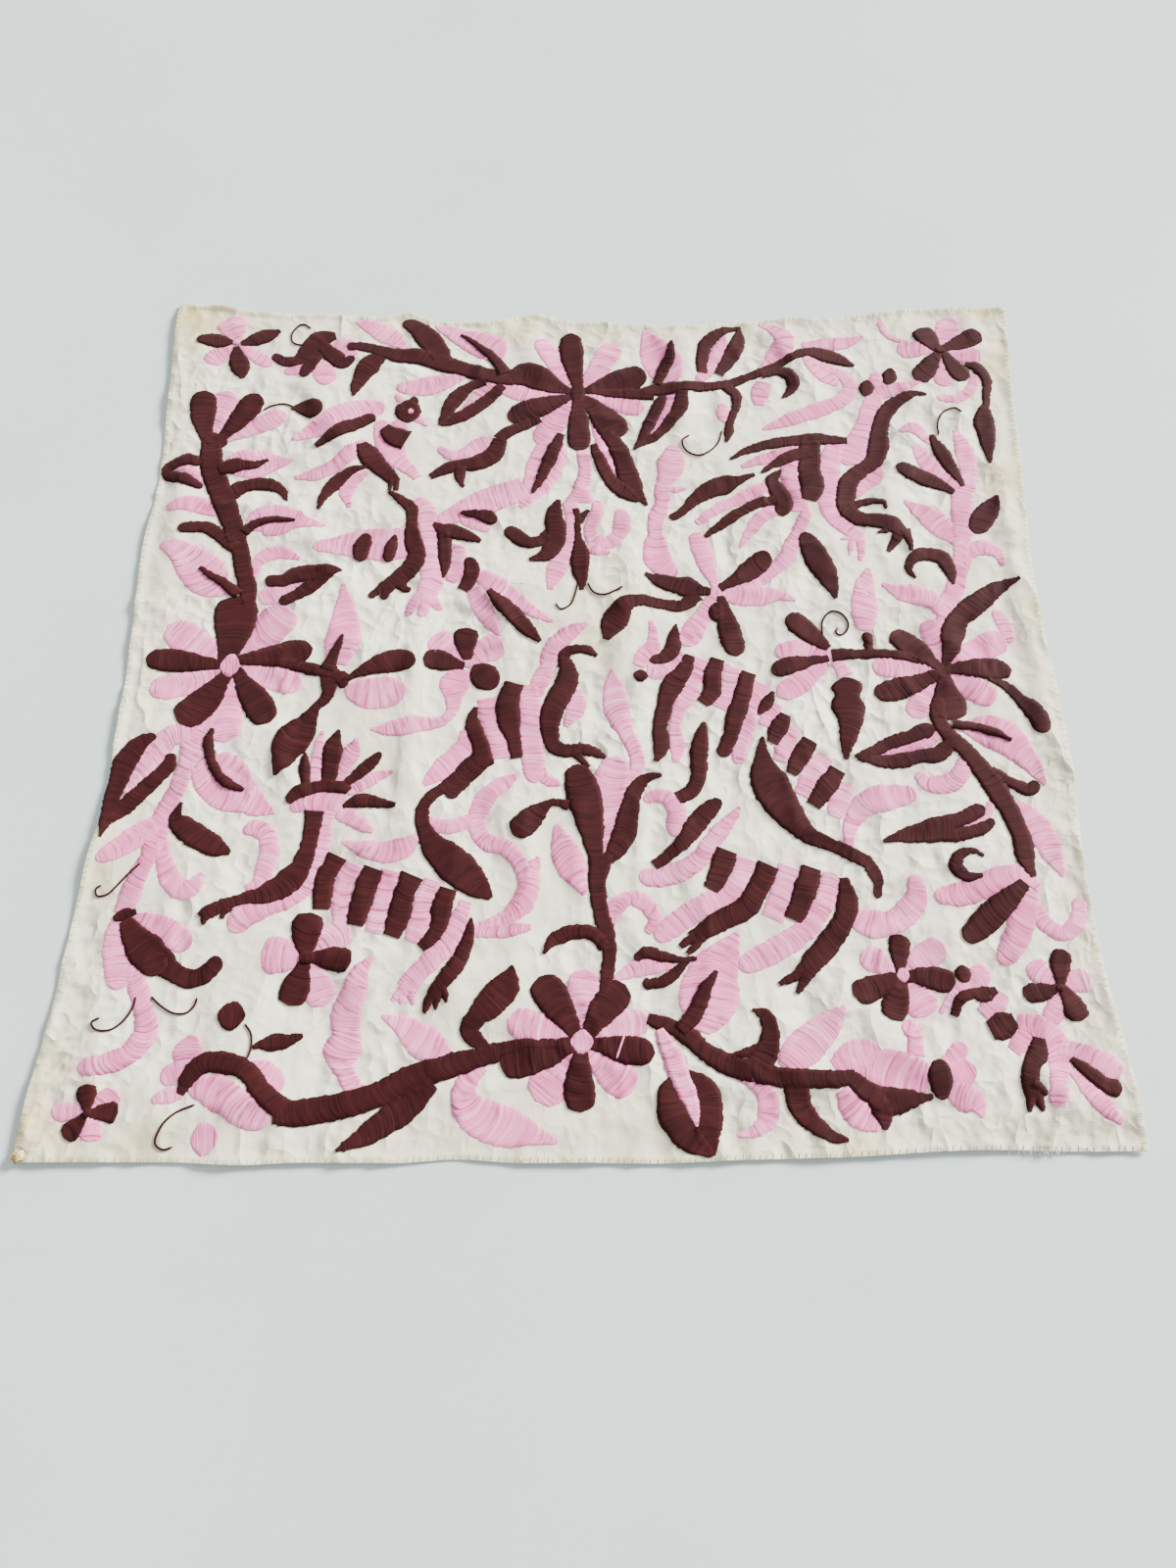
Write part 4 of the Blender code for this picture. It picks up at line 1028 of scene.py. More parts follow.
        ("P", "petal", 0.7, -48.5, 7.4, -46.2, 2.9),
        ("D", "petal", 0.8, -49.0, 8.1, -50.0, 3.1),
        ("P", "petal", 0.4, -49.7, 5.4, -54.4, 3.5),
        ("D", "petal", -0.3, -49.8, -0.2, -56.6, 3.4),
        ("P", "petal", -0.9, -49.6, -5.3, -55.3, 4.0),
        ("D", "petal", -1.2, -49.1, -9.4, -51.4, 3.8),
        ("P", "petal", -1.2, -48.5, -8.6, -46.3, 3.3),
        ("D", "petal", -0.9, -47.9, -5.3, -41.4, 3.7),
        ("P+", "rr", (-1.5, -48.8, 1.4), (-0.2, -48.8, 2.5), (1.1, -48.8, 1.4)),
        ("D", "pb", (-3.0, -49.3, 0.6), (-7.0, -49.2, 1.2), (-10.2, -50.0, 1.9)),
    ),
    "bottom_right_branch": (
        ("D", "bb", (7.3, -46.0, 1.3), (9.0, -46.6, 1.7), (11.5, -47.8, 2.0), (13.5, -49.6, 2.1),
         (16.0, -51.1, 2.3), (19.0, -51.9, 2.4), (22.0, -52.5, 2.1), (25.0, -52.7, 2.0), (28.0, -52.7, 1.9),
         (30.5, -52.4, 1.5)),
        ("P", "pb", (18.0, -35.8, 0.4), (16.6, -38.0, 3.0), (15.0, -40.8, 5.2), (14.3, -43.6, 6.2),
         (13.7, -46.0, 4.4), (13.2, -47.5, 2.0)),
        ("D+", "bp", (11.0, -47.4, 1.4), (12.6, -45.5, 1.8), (13.8, -43.0, 1.6), (15.3, -40.4, 0.4)),
        ("D", "pb", (19.3, -44.8, 0.4), (20.7, -45.6, 1.5), (21.2, -47.6, 2.0), (20.7, -49.6, 2.4),
         (19.6, -51.4, 3.0)),
        ("D", "pb", (16.6, -50.2, 0.4), (18.4, -49.8, 1.0), (20.2, -48.8, 0.8)),
        ("P", "pb", (29.8, -44.5, 0.4), (28.0, -46.4, 2.6), (26.0, -48.2, 3.4), (24.0, -50.0, 3.4),
         (22.6, -51.6, 1.8)),
        ("P+", "bp", (8.6, -47.3, 0.8), (9.8, -50.0, 1.9), (11.0, -53.0, 2.0), (12.0, -55.6, 1.5),
         (12.6, -58.0, 0.4)),
        ("D", "pp", (10.2, -52.4, 0.6), (9.6, -54.8, 2.6), (10.3, -57.4, 3.3), (11.8, -59.3, 2.9),
         (14.2, -61.0, 0.6)),
        ("D", "pp", (11.6, -52.0, 0.5), (13.3, -53.8, 2.8), (13.8, -56.4, 3.4), (13.7, -58.8, 2.8),
         (14.2, -61.1, 0.5)),
        ("P", "bp", (17.0, -52.2, 0.6), (19.0, -53.0, 1.5), (20.6, -55.0, 2.0), (20.4, -57.1, 2.1),
         (18.9, -58.4, 1.1), (17.0, -58.8, 0.3)),
        ("D", "bp", (23.8, -53.4, 2.7), (24.0, -55.6, 2.6), (25.5, -57.5, 2.0), (27.5, -58.9, 1.2),
         (29.2, -59.3, 0.4)),
        ("P", "br", (28.0, -51.2, 1.2), (30.5, -50.0, 2.8), (33.6, -49.3, 1.6)),
        ("P", "bb", (30.0, -51.5, 1.8), (33.4, -51.4, 3.8), (36.2, -52.0, 4.0), (38.6, -52.6, 2.8)),
        ("D", "bp", (30.0, -52.4, 1.8), (32.0, -54.2, 2.4), (34.0, -55.0, 2.9), (36.2, -54.7, 2.0),
         (39.0, -54.4, 0.4)),
        ("D", "bp", (32.2, -54.4, 1.6), (33.2, -56.2, 2.2), (33.4, -58.1, 0.5)),
        ("P", "br", (28.8, -53.8, 1.4), (29.8, -55.4, 2.7), (31.0, -56.9, 2.6), (33.0, -57.9, 0.8)),
        ("D", "rr", (39.9, -50.3, 1.4), (39.9, -52.4, 2.6), (40.0, -54.8, 1.3)),
        ("P", "br", (40.6, -50.9, 1.2), (42.2, -49.6, 1.9), (43.3, -48.5, 1.2)),
        ("P", "br", (41.2, -51.9, 2.4), (42.8, -51.6, 2.6), (44.1, -51.2, 1.6)),
        ("P", "bp", (41.0, -53.7, 1.8), (42.4, -54.4, 2.8), (43.8, -55.3, 2.0), (44.3, -56.6, 0.5)),
        ("P", "rb", (36.2, -46.5, 1.0), (37.3, -46.9, 2.2), (37.5, -48.2, 1.5), (37.3, -50.0, 1.8)),
    ),
    "centre_stem": (
        ("D", "rb", (2.1, -43.2, 0.8), (2.6, -41.2, 1.6), (2.9, -39.0, 1.5), (2.6, -36.4, 1.9),
         (1.8, -33.4, 1.9),
         (1.4, -30.0, 2.1), (1.8, -26.2, 2.8)),
        ("D", "petal", 1.3, -26.8, -1.5, -14.4, 4.0),
        ("P", "petal", 1.9, -26.4, 3.9, -13.2, 3.9),
        ("D", "bp", (2.6, -27.0, 1.4), (4.4, -24.2, 2.7), (5.1, -21.0, 2.4), (5.8, -18.2, 1.9),
         (7.2, -16.2, 1.4),
         (9.3, -15.7, 0.4)),
        ("D", "pb", (-4.9, -38.6, 0.4), (-3.6, -36.9, 1.6), (-1.5, -35.9, 1.7), (0.6, -36.0, 1.6),
         (2.4, -37.6, 1.4)),
        ("D", "br", (-2.2, -19.9, 1.1), (-4.5, -19.6, 1.0), (-6.0, -20.8, 2.2), (-7.4, -22.4, 3.0),
         (-8.9, -24.0, 2.6)),
        ("P", "pp", (-3.7, -22.4, 0.4), (-2.9, -25.0, 2.6), (-1.6, -28.0, 3.2), (0.0, -31.4, 0.5)),
        ("P", "pb", (3.0, -0.9, 0.4), (3.3, -4.0, 2.6), (3.7, -7.0, 2.8), (4.8, -9.8, 2.0),
         (6.0, -12.2, 1.7),
         (6.3, -14.4, 1.6), (5.4, -16.4, 1.0)),
        ("P", "rr", (7.0, -19.0, 1.0), (8.6, -18.4, 1.5), (10.0, -18.8, 1.8), (11.0, -20.5, 2.1),
         (11.0, -22.3, 2.2), (10.6, -23.9, 1.4)),
        ("D", "pb", (14.8, -8.2, 0.4), (14.2, -10.8, 2.0), (14.0, -13.5, 2.1), (13.8, -16.0, 1.8),
         (12.8, -17.8, 1.7), (11.2, -18.8, 1.7)),
        ("D", "br", (8.2, -27.6, 1.2), (10.2, -26.0, 1.5), (12.0, -24.4, 1.9), (13.5, -22.0, 2.4),
         (15.0, -20.2, 2.1), (16.6, -18.9, 1.2)),
        ("P", "pr", (18.9, -19.8, 0.4), (17.0, -22.3, 1.6), (15.0, -24.8, 2.0), (13.6, -26.8, 2.0),
         (12.0, -28.0, 2.2), (10.0, -28.7, 2.4), (8.0, -29.1, 2.2), (6.4, -29.0, 1.6)),
        ("P", "rr", (3.0, -35.0, 1.0), (3.6, -32.9, 1.7), (5.4, -31.7, 1.6), (7.2, -32.5, 1.8),
         (8.3, -34.2, 1.4),
         (7.2, -35.9, 0.8)),
        ("D", "rp", (5.7, -39.1, 0.8), (7.3, -38.3, 1.5), (9.2, -38.8, 1.2), (11.0, -39.1, 0.8),
         (13.1, -39.0, 0.4)),
        ("P", "pp", (3.5, -41.5, 0.6), (5.5, -40.4, 1.6), (8.0, -39.9, 1.7), (10.5, -39.9, 0.5)),
        ("D", "rp", (6.7, -42.0, 1.2), (8.7, -41.9, 1.3), (10.3, -40.9, 1.3), (11.4, -39.8, 0.8),
         (12.2, -39.1, 0.4)),
    ),
    "small_flower_centre": (
        ("D", "petal", -15.8, 0.8, -16.0, 5.2, 3.1),
        ("P", "petal", -16.4, 0.7, -20.6, 3.8, 3.1),
        ("P", "petal", -15.0, 0.5, -11.3, 3.0, 3.4),
        ("D", "petal", -16.4, -0.3, -21.4, 0.4, 2.8),
        ("D", "rr", (-15.0, -0.4, 1.4), (-13.4, -2.0, 3.6), (-11.8, -3.6, 2.2)),
        ("P", "rr", (-16.4, 0.1, 0.8), (-15.6, 0.1, 1.5), (-14.9, 0.1, 0.9)),
        ("P", "bp", (-16.2, -0.8, 1.6), (-17.2, -3.2, 3.4), (-17.2, -5.2, 1.9), (-17.3, -7.2, 1.3),
         (-18.4, -8.5, 1.2), (-20.6, -9.0, 1.8), (-23.3, -9.6, 2.3), (-25.6, -9.9, 1.4),
         (-27.4, -9.8, 0.3)),
    ),
    "standing_animal": (
        ("D", "bp", (-3.1, -0.6, 1.6), (-3.1, 1.3, 1.4), (-1.6, 2.1, 1.3), (-0.2, 2.0, 1.2),
         (1.1, 1.2, 0.4)),
        ("P", "bp", (-5.4, -1.2, 1.4), (-4.9, 1.6, 2.2), (-3.3, 3.9, 2.1), (-1.6, 5.3, 1.4),
         (-0.2, 6.1, 0.4)),
        ("D", "bb", (-2.9, 0.4, 1.4), (-2.6, -2.0, 2.6), (-3.5, -4.6, 2.8), (-4.6, -7.2, 2.7),
         (-4.8, -9.8, 2.2),
         (-4.2, -11.9, 1.9), (-2.6, -12.5, 1.7), (-1.0, -12.4, 1.7)),
        ("D", "bp", (-1.2, -12.3, 1.7), (0.6, -12.6, 1.4), (2.3, -13.5, 0.4)),
        ("D", "bp", (-1.8, -12.6, 1.4), (-0.8, -13.6, 0.9), (0.2, -14.8, 0.4)),
        ("P", "pp", (-1.2, -3.8, 0.6), (-1.4, -6.2, 2.2), (-2.7, -9.2, 0.6)),
        ("P", "bp", (-4.8, 0.0, 1.4), (-5.8, -1.8, 2.2), (-6.3, -3.6, 1.8), (-5.9, -4.9, 0.5)),
        ("P", "br", (-7.8, -3.2, 2.0), (-7.3, -7.0, 2.6), (-7.4, -10.5, 3.0), (-6.8, -13.5, 2.6),
         (-6.4, -17.0, 2.0)),
        ("P", "bp", (-6.2, -15.0, 1.4), (-4.8, -16.6, 1.3), (-3.2, -17.1, 0.5)),
        ("D", "bb", (-9.5, -3.0, 2.3), (-10.2, -6.0, 2.8), (-10.0, -8.6, 2.8), (-9.3, -11.0, 1.8),
         (-8.8, -13.6, 1.4)),
        ("P", "bb", (-12.7, -5.1, 2.6), (-12.1, -8.0, 2.9), (-11.3, -10.6, 2.7), (-10.7, -13.6, 2.2)),
        ("D", "pb", (-14.4, -6.5, 0.5), (-14.6, -9.0, 1.9), (-13.6, -11.5, 2.0), (-13.3, -13.5, 2.5),
         (-14.8, -15.3, 2.7), (-16.6, -16.9, 1.9), (-18.6, -18.6, 1.4), (-19.9, -20.4, 1.5),
         (-20.1, -22.2, 1.7),
         (-19.2, -24.2, 2.0)),
        ("D", "bp", (-11.6, -14.1, 0.6), (-13.2, -14.4, 1.6), (-14.6, -15.4, 1.8)),
        ("D", "br", (-14.8, -15.4, 2.0), (-16.1, -17.4, 2.1), (-17.1, -19.2, 1.4)),
        ("D", "bp", (-19.7, -23.6, 1.7), (-18.5, -25.4, 3.0), (-16.3, -27.4, 4.2), (-14.1, -29.4, 3.8),
         (-12.4, -30.9, 2.4), (-11.2, -32.0, 0.5)),
        ("P", "pp", (-15.6, -9.8, 0.8), (-15.5, -12.0, 2.2), (-17.0, -14.0, 2.4), (-18.6, -15.9, 2.2),
         (-20.1, -17.5, 0.6)),
        ("P", "pb", (-19.4, -21.8, 0.4), (-18.2, -22.8, 1.4), (-16.0, -22.9, 1.6), (-14.0, -21.7, 1.4)),
    ),
    "centre_right_animal": (
        ("D", "rb", (26.0, 7.3, 2.2), (27.6, 6.3, 3.0), (29.4, 4.7, 2.6), (31.4, 2.8, 1.0)),
        ("P", "rb", (24.3, 1.9, 1.8), (26.5, 2.4, 2.3), (29.0, 2.7, 2.3), (31.4, 1.9, 1.2)),
        ("D", "rb", (23.7, -0.9, 1.8), (26.0, 0.1, 2.4), (29.0, 0.9, 1.4), (31.3, 1.4, 0.9)),
        ("P", "rb", (24.3, -4.3, 1.8), (26.5, -2.9, 2.7), (28.8, -1.0, 2.2), (31.2, 0.8, 1.1)),
        ("P", "bb", (32.3, 0.9, 1.4), (33.2, -1.4, 1.9)),
        ("P", "rr", (30.9, 1.7, 0.9), (31.8, 1.9, 1.3)),
        ("D", "rp", (33.2, -1.5, 2.4), (33.3, -2.9, 3.6), (33.3, -4.2, 3.0), (33.2, -5.6, 4.1),
         (33.4, -7.5, 3.2),
         (33.1, -9.5, 2.3), (32.6, -11.5, 1.4), (32.4, -13.2, 0.4)),
        ("D", "pr", (11.5, 6.1, 0.4), (11.1, 4.0, 1.6), (10.9, 2.2, 2.0), (9.6, 0.8, 1.5), (7.9, 0.5, 1.1)),
        ("P", "pb", (8.2, 6.5, 0.4), (8.4, 4.2, 1.2), (8.3, 2.6, 1.8), (7.1, 1.0, 2.0), (6.5, -0.4, 1.6)),
        ("D", "rr", (5.8, -1.6, 1.2), (6.8, -1.8, 1.7), (7.7, -1.9, 1.1)),
        ("P", "bb", (7.6, -1.0, 1.9), (9.6, -1.1, 2.2), (11.2, 0.0, 1.9), (12.6, 1.4, 1.3)),
        ("D", "bp", (13.2, 1.4, 1.2), (12.4, -0.9, 2.0), (10.9, -3.0, 2.7), (9.8, -6.0, 1.9),
         (9.2, -9.0, 1.8),
         (9.3, -11.5, 2.1), (8.6, -13.9, 0.5)),
        ("P", "bp", (14.7, 0.9, 2.0), (13.6, -1.5, 2.4), (12.8, -3.8, 2.7), (11.6, -6.5, 1.5),
         (11.0, -9.0, 1.4),
         (11.3, -11.8, 1.6), (11.0, -13.9, 0.6)),
        ("D", "bb", (16.8, 0.9, 1.7), (16.0, -1.5, 2.1), (15.9, -3.8, 2.2), (14.6, -5.5, 1.5)),
        ("P", "bb", (18.7, -0.3, 2.3), (18.2, -2.5, 2.2), (17.6, -4.6, 2.3), (16.8, -6.1, 1.6)),
        ("D", "br", (20.7, -0.9, 1.8), (19.9, -4.0, 2.1), (18.9, -7.0, 2.3), (18.1, -10.0, 1.9),
         (16.7, -12.9, 1.6)),
        ("P", "br", (22.2, -2.4, 2.6), (20.9, -5.5, 1.9), (20.3, -8.5, 1.6), (19.4, -11.2, 1.8),
         (18.8, -13.9, 1.3)),
        ("D", "pp", (23.7, -3.6, 0.4), (23.0, -5.2, 1.5), (21.8, -7.0, 0.5)),
        ("P", "bb", (24.4, -5.6, 1.0), (23.2, -7.1, 2.0), (22.4, -8.7, 1.5)),
        ("D", "bb", (25.2, -7.0, 1.4), (24.2, -9.0, 2.3), (23.1, -11.2, 1.3)),
        ("P", "bb", (26.2, -9.1, 1.3), (25.0, -11.2, 2.2), (24.1, -13.6, 1.5)),
        ("D", "bb", (28.1, -10.6, 1.9), (26.7, -12.9, 2.2), (25.4, -15.4, 1.4)),
        ("P", "bb", (29.8, -12.8, 1.9), (28.0, -15.5, 2.7), (26.6, -18.2, 1.7)),
        ("D", "bb", (31.3, -14.5, 1.9), (29.7, -17.0, 2.4), (27.9, -19.6, 1.8)),
        ("P", "bb", (32.3, -16.4, 1.2), (31.2, -18.9, 2.4), (30.4, -21.0, 1.4)),
        ("P", "br", (31.9, -25.0, 1.0), (32.2, -22.4, 1.6), (33.6, -20.0, 2.4), (35.6, -18.7, 3.2),
         (38.0, -18.1, 2.9), (40.9, -17.6, 1.6)),
        ("D", "pr", (22.0, -10.3, 0.4), (21.9, -13.0, 2.0), (22.4, -16.0, 4.2), (23.7, -18.8, 4.4),
         (25.3, -21.4, 3.4), (27.1, -23.5, 2.2), (29.5, -24.6, 1.6), (32.0, -25.8, 1.6), (34.2, -27.3, 1.6),
         (35.0, -29.3, 1.3), (34.8, -31.4, 1.0)),
    ),
    "lower_right_animal": (
        ("D", "bb", (17.1, -25.6, 2.4), (16.2, -28.0, 2.6), (14.9, -30.6, 1.8)),
        ("P", "br", (19.3, -26.6, 2.2), (18.6, -29.0, 2.3), (16.8, -31.1, 2.6), (14.4, -32.4, 2.4),
         (12.0, -33.8, 2.4), (9.8, -35.5, 2.3), (8.4, -36.8, 1.6)),
        ("D", "bb", (22.0, -27.3, 2.6), (20.6, -30.2, 2.5), (19.2, -32.6, 2.6), (16.8, -33.9, 2.5),
         (14.4, -35.4, 2.2), (12.6, -36.6, 1.8)),
        ("D", "bp", (13.0, -36.4, 1.2), (12.0, -36.9, 1.0), (11.2, -37.6, 0.5)),
        ("D", "bp", (13.6, -36.2, 1.2), (12.9, -37.4, 0.9), (12.0, -38.4, 0.5)),
        ("P", "bb", (24.8, -27.6, 2.8), (23.7, -30.5, 2.7), (22.1, -34.0, 2.4)),
        ("D", "bb", (27.2, -27.6, 2.3), (26.2, -30.5, 2.7), (24.6, -34.2, 2.0)),
        ("P", "br", (29.8, -28.6, 2.4), (28.4, -32.0, 2.2), (26.6, -34.7, 2.2), (24.0, -36.8, 2.4),
         (21.0, -38.5, 2.6), (18.0, -40.0, 1.8)),
        ("D", "pb", (30.8, -28.9, 0.9), (31.2, -31.5, 2.4), (30.6, -34.0, 2.4), (29.0, -36.4, 2.6),
         (27.0, -38.8, 2.5), (25.2, -40.8, 2.0)),
        ("D", "bp", (25.6, -40.4, 1.4), (24.2, -41.0, 1.1), (22.6, -42.0, 0.5)),
        ("D", "bp", (25.8, -40.6, 1.4), (25.2, -41.8, 1.1), (24.6, -43.0, 0.6)),
        ("P", "br", (31.4, -33.6, 1.8), (33.5, -34.5, 3.0), (36.0, -34.4, 2.7), (38.4, -32.8, 2.6),
         (39.6, -30.6, 2.2), (39.3, -28.4, 1.4)),
    ),
    "deer": (
        ("D", "pb", (-35.3, -13.3, 0.4), (-35.2, -15.0, 1.3), (-34.8, -17.6, 0.9)),
        ("P", "pb", (-33.4, -10.2, 0.4), (-33.7, -13.0, 1.2), (-33.8, -17.0, 1.3)),
        ("D", "pb", (-31.4, -10.1, 0.4), (-31.8, -12.5, 2.2), (-32.0, -15.0, 2.1), (-32.2, -17.2, 1.6)),
        ("P", "pb", (-28.9, -11.2, 0.4), (-29.5, -13.0, 1.9), (-30.2, -15.0, 1.7), (-30.7, -17.0, 1.3)),
        ("D", "rb", (-25.8, -13.1, 0.8), (-27.2, -14.6, 1.5), (-28.7, -16.1, 1.4), (-30.0, -17.3, 0.7)),
        ("P", "pb", (-24.1, -15.6, 0.4), (-26.2, -16.3, 1.4), (-28.0, -17.4, 1.5), (-29.6, -18.6, 0.8)),
        ("D", "pp", (-23.4, -20.3, 0.4), (-26.0, -19.8, 1.5), (-28.3, -19.7, 1.8), (-30.0, -20.4, 0.5)),
        ("P", "pb", (-25.9, -23.8, 0.4), (-27.8, -22.6, 1.6), (-29.6, -21.4, 1.9), (-31.0, -20.4, 1.3)),
        ("D", "rb", (-36.9, -20.0, 1.0), (-35.9, -18.9, 1.6), (-34.0, -17.9, 1.5), (-32.0, -17.6, 1.6),
         (-30.0, -17.9, 1.4), (-29.4, -18.4, 0.9)),
        ("P", "rb", (-36.4, -20.8, 1.2), (-34.0, -19.9, 2.2), (-31.8, -19.8, 2.9), (-29.8, -20.2, 2.4)),
        ("P", "br", (-31.6, -20.8, 1.6), (-32.1, -24.0, 1.9), (-32.6, -27.5, 2.2), (-33.6, -30.5, 2.2),
         (-35.4, -32.4, 1.9), (-38.0, -33.3, 2.4), (-40.2, -34.6, 2.7), (-41.6, -36.4, 1.8)),
        ("D", "bb", (-33.4, -21.0, 2.4), (-33.5, -24.0, 1.9), (-34.0, -27.3, 2.1), (-35.4, -30.0, 3.1),
         (-37.8, -31.6, 2.5), (-40.2, -32.3, 1.5), (-42.8, -33.2, 1.5), (-44.4, -34.3, 1.5)),
        ("D", "bp", (-43.6, -33.6, 1.2), (-44.8, -34.0, 0.9), (-45.6, -34.6, 0.4)),
        ("D", "bp", (-44.0, -34.0, 1.3), (-44.7, -34.9, 1.0), (-44.9, -35.8, 0.4)),
        ("D", "bp", (-42.2, -33.4, 1.2), (-42.7, -34.2, 0.8), (-42.8, -35.0, 0.4)),
        ("D", "bb", (-30.0, -26.8, 2.2), (-31.2, -29.5, 2.2), (-31.3, -32.0, 2.3), (-31.3, -33.6, 1.8)),
        ("P", "bb", (-27.8, -27.8, 2.3), (-28.9, -30.5, 2.1), (-29.0, -33.0, 2.2), (-28.9, -35.0, 1.6)),
        ("D", "bb", (-25.4, -28.4, 2.3), (-26.3, -31.0, 2.5), (-26.8, -33.3, 2.5), (-27.2, -35.5, 1.9)),
        ("P", "bb", (-23.3, -28.7, 2.2), (-24.0, -31.5, 2.1), (-24.4, -34.0, 2.3), (-25.0, -36.4, 1.6)),
        ("D", "bb", (-20.7, -29.2, 2.6), (-21.7, -31.8, 2.3), (-22.0, -34.2, 2.6), (-22.8, -36.8, 1.8)),
        ("P", "bb", (-18.2, -29.8, 2.1), (-19.1, -32.3, 2.1), (-19.4, -35.0, 2.5), (-20.4, -37.4, 1.5)),
        ("D", "bb", (-16.4, -30.8, 2.0), (-17.0, -33.0, 2.3), (-17.2, -35.3, 1.9), (-18.0, -37.0, 1.7),
         (-19.2, -38.2, 1.0)),
        ("P", "bb", (-14.2, -32.4, 1.3), (-15.0, -35.0, 2.1), (-15.9, -37.4, 2.3), (-17.6, -39.3, 2.2),
         (-19.3, -41.3, 2.1), (-20.6, -43.0, 2.2)),
        ("P", "bp", (-20.0, -42.4, 1.2), (-21.2, -43.4, 0.9), (-22.0, -44.4, 0.4)),
        ("P", "bp", (-20.4, -42.6, 1.3), (-20.9, -43.8, 0.9), (-21.0, -44.8, 0.4)),
        ("P", "bp", (-20.0, -42.8, 1.1), (-19.8, -43.8, 0.8), (-19.5, -44.8, 0.4)),
        ("D", "pb", (-13.4, -34.4, 0.4), (-13.7, -37.0, 1.5), (-14.8, -40.0, 1.8), (-16.6, -42.6, 1.8),
         (-17.5, -43.8, 1.5)),
        ("D", "bp", (-17.2, -43.2, 1.2), (-17.9, -44.6, 1.0), (-18.3, -45.8, 0.4)),
        ("D", "bp", (-16.8, -43.0, 1.1), (-17.0, -44.4, 0.9), (-17.0, -45.4, 0.4)),
        ("D", "bp", (-16.4, -42.8, 1.1), (-16.0, -43.8, 0.9), (-15.8, -44.6, 0.4)),
        ("P", "bp", (-13.2, -36.0, 1.3), (-11.0, -36.1, 1.4), (-9.0, -35.9, 1.6), (-6.4, -35.4, 0.6)),
        ("P", "bb", (-12.4, -35.3, 0.6), (-9.6, -34.4, 1.6), (-7.8, -33.0, 2.2), (-6.8, -30.6, 2.4),
         (-6.8, -28.6, 2.0)),
        ("P", "bp", (-6.7, -29.4, 1.8), (-6.3, -28.0, 1.4), (-5.7, -26.6, 0.4)),
        ("P", "bp", (-7.2, -29.6, 1.6), (-8.2, -27.2, 1.7), (-10.0, -25.5, 1.8), (-12.2, -24.7, 1.9),
         (-13.3, -23.0, 2.0), (-13.2, -20.9, 2.1), (-12.2, -18.8, 2.1), (-10.4, -17.2, 1.8),
         (-8.6, -15.8, 0.5)),
        ("P", "pp", (-29.6, -25.0, 0.4), (-27.0, -25.9, 1.8), (-24.5, -26.4, 2.5), (-22.0, -25.7, 2.3),
         (-20.5, -24.3, 0.5)),
    ),
    "lower_right_bird": (
        ("D", "rr", (43.7, -39.4, 1.2), (43.9, -40.5, 1.9), (44.2, -41.5, 1.2)),
        ("P", "pr", (40.9, -45.0, 0.4), (42.4, -43.1, 1.2), (44.2, -41.7, 1.6), (45.8, -40.6, 2.3),
         (46.0, -39.2, 1.7)),
        ("D", "pp", (42.3, -45.4, 0.8), (43.2, -43.6, 1.2), (44.6, -42.8, 1.2), (46.0, -42.9, 1.9),
         (47.6, -42.3, 0.6)),
        ("P", "bb", (48.3, -42.7, 1.2), (47.1, -44.0, 2.3), (45.7, -45.3, 1.7)),
        ("D", "bb", (49.2, -45.7, 1.5), (47.8, -46.4, 3.0), (46.2, -47.0, 2.0)),
        ("P", "bb", (50.9, -46.8, 1.3), (49.8, -48.1, 2.0), (48.6, -49.3, 1.4)),
        ("P", "br", (49.5, -45.9, 1.5), (51.6, -46.4, 2.4), (53.3, -48.2, 2.9), (53.6, -50.4, 2.3),
         (53.0, -52.8, 1.7), (52.5, -55.4, 1.8)),
        ("D", "bb", (51.7, -47.7, 1.4), (51.3, -49.4, 2.2), (50.3, -50.8, 1.9), (49.8, -52.6, 1.8),
         (50.0, -54.2, 1.6)),
        ("D", "br", (50.1, -52.8, 1.2), (50.9, -53.6, 1.0), (51.5, -54.2, 0.7)),
        ("D", "bp", (49.9, -53.8, 1.1), (49.6, -55.0, 0.9), (49.4, -56.0, 0.5)),
        ("D", "bp", (50.3, -53.8, 1.1), (50.7, -55.0, 0.9), (51.0, -55.9, 0.5)),
        ("P", "bb", (54.0, -48.6, 1.8), (56.8, -49.8, 2.2), (59.0, -51.1, 2.5), (60.2, -51.8, 1.6)),
        ("D", "br", (55.0, -50.0, 0.8), (56.6, -51.6, 1.5), (58.4, -53.1, 1.8), (60.0, -53.5, 2.0)),
        ("P", "bp", (54.8, -51.4, 0.9), (56.2, -53.6, 1.6), (57.8, -55.4, 1.8), (59.6, -57.0, 0.6)),
    ),
}

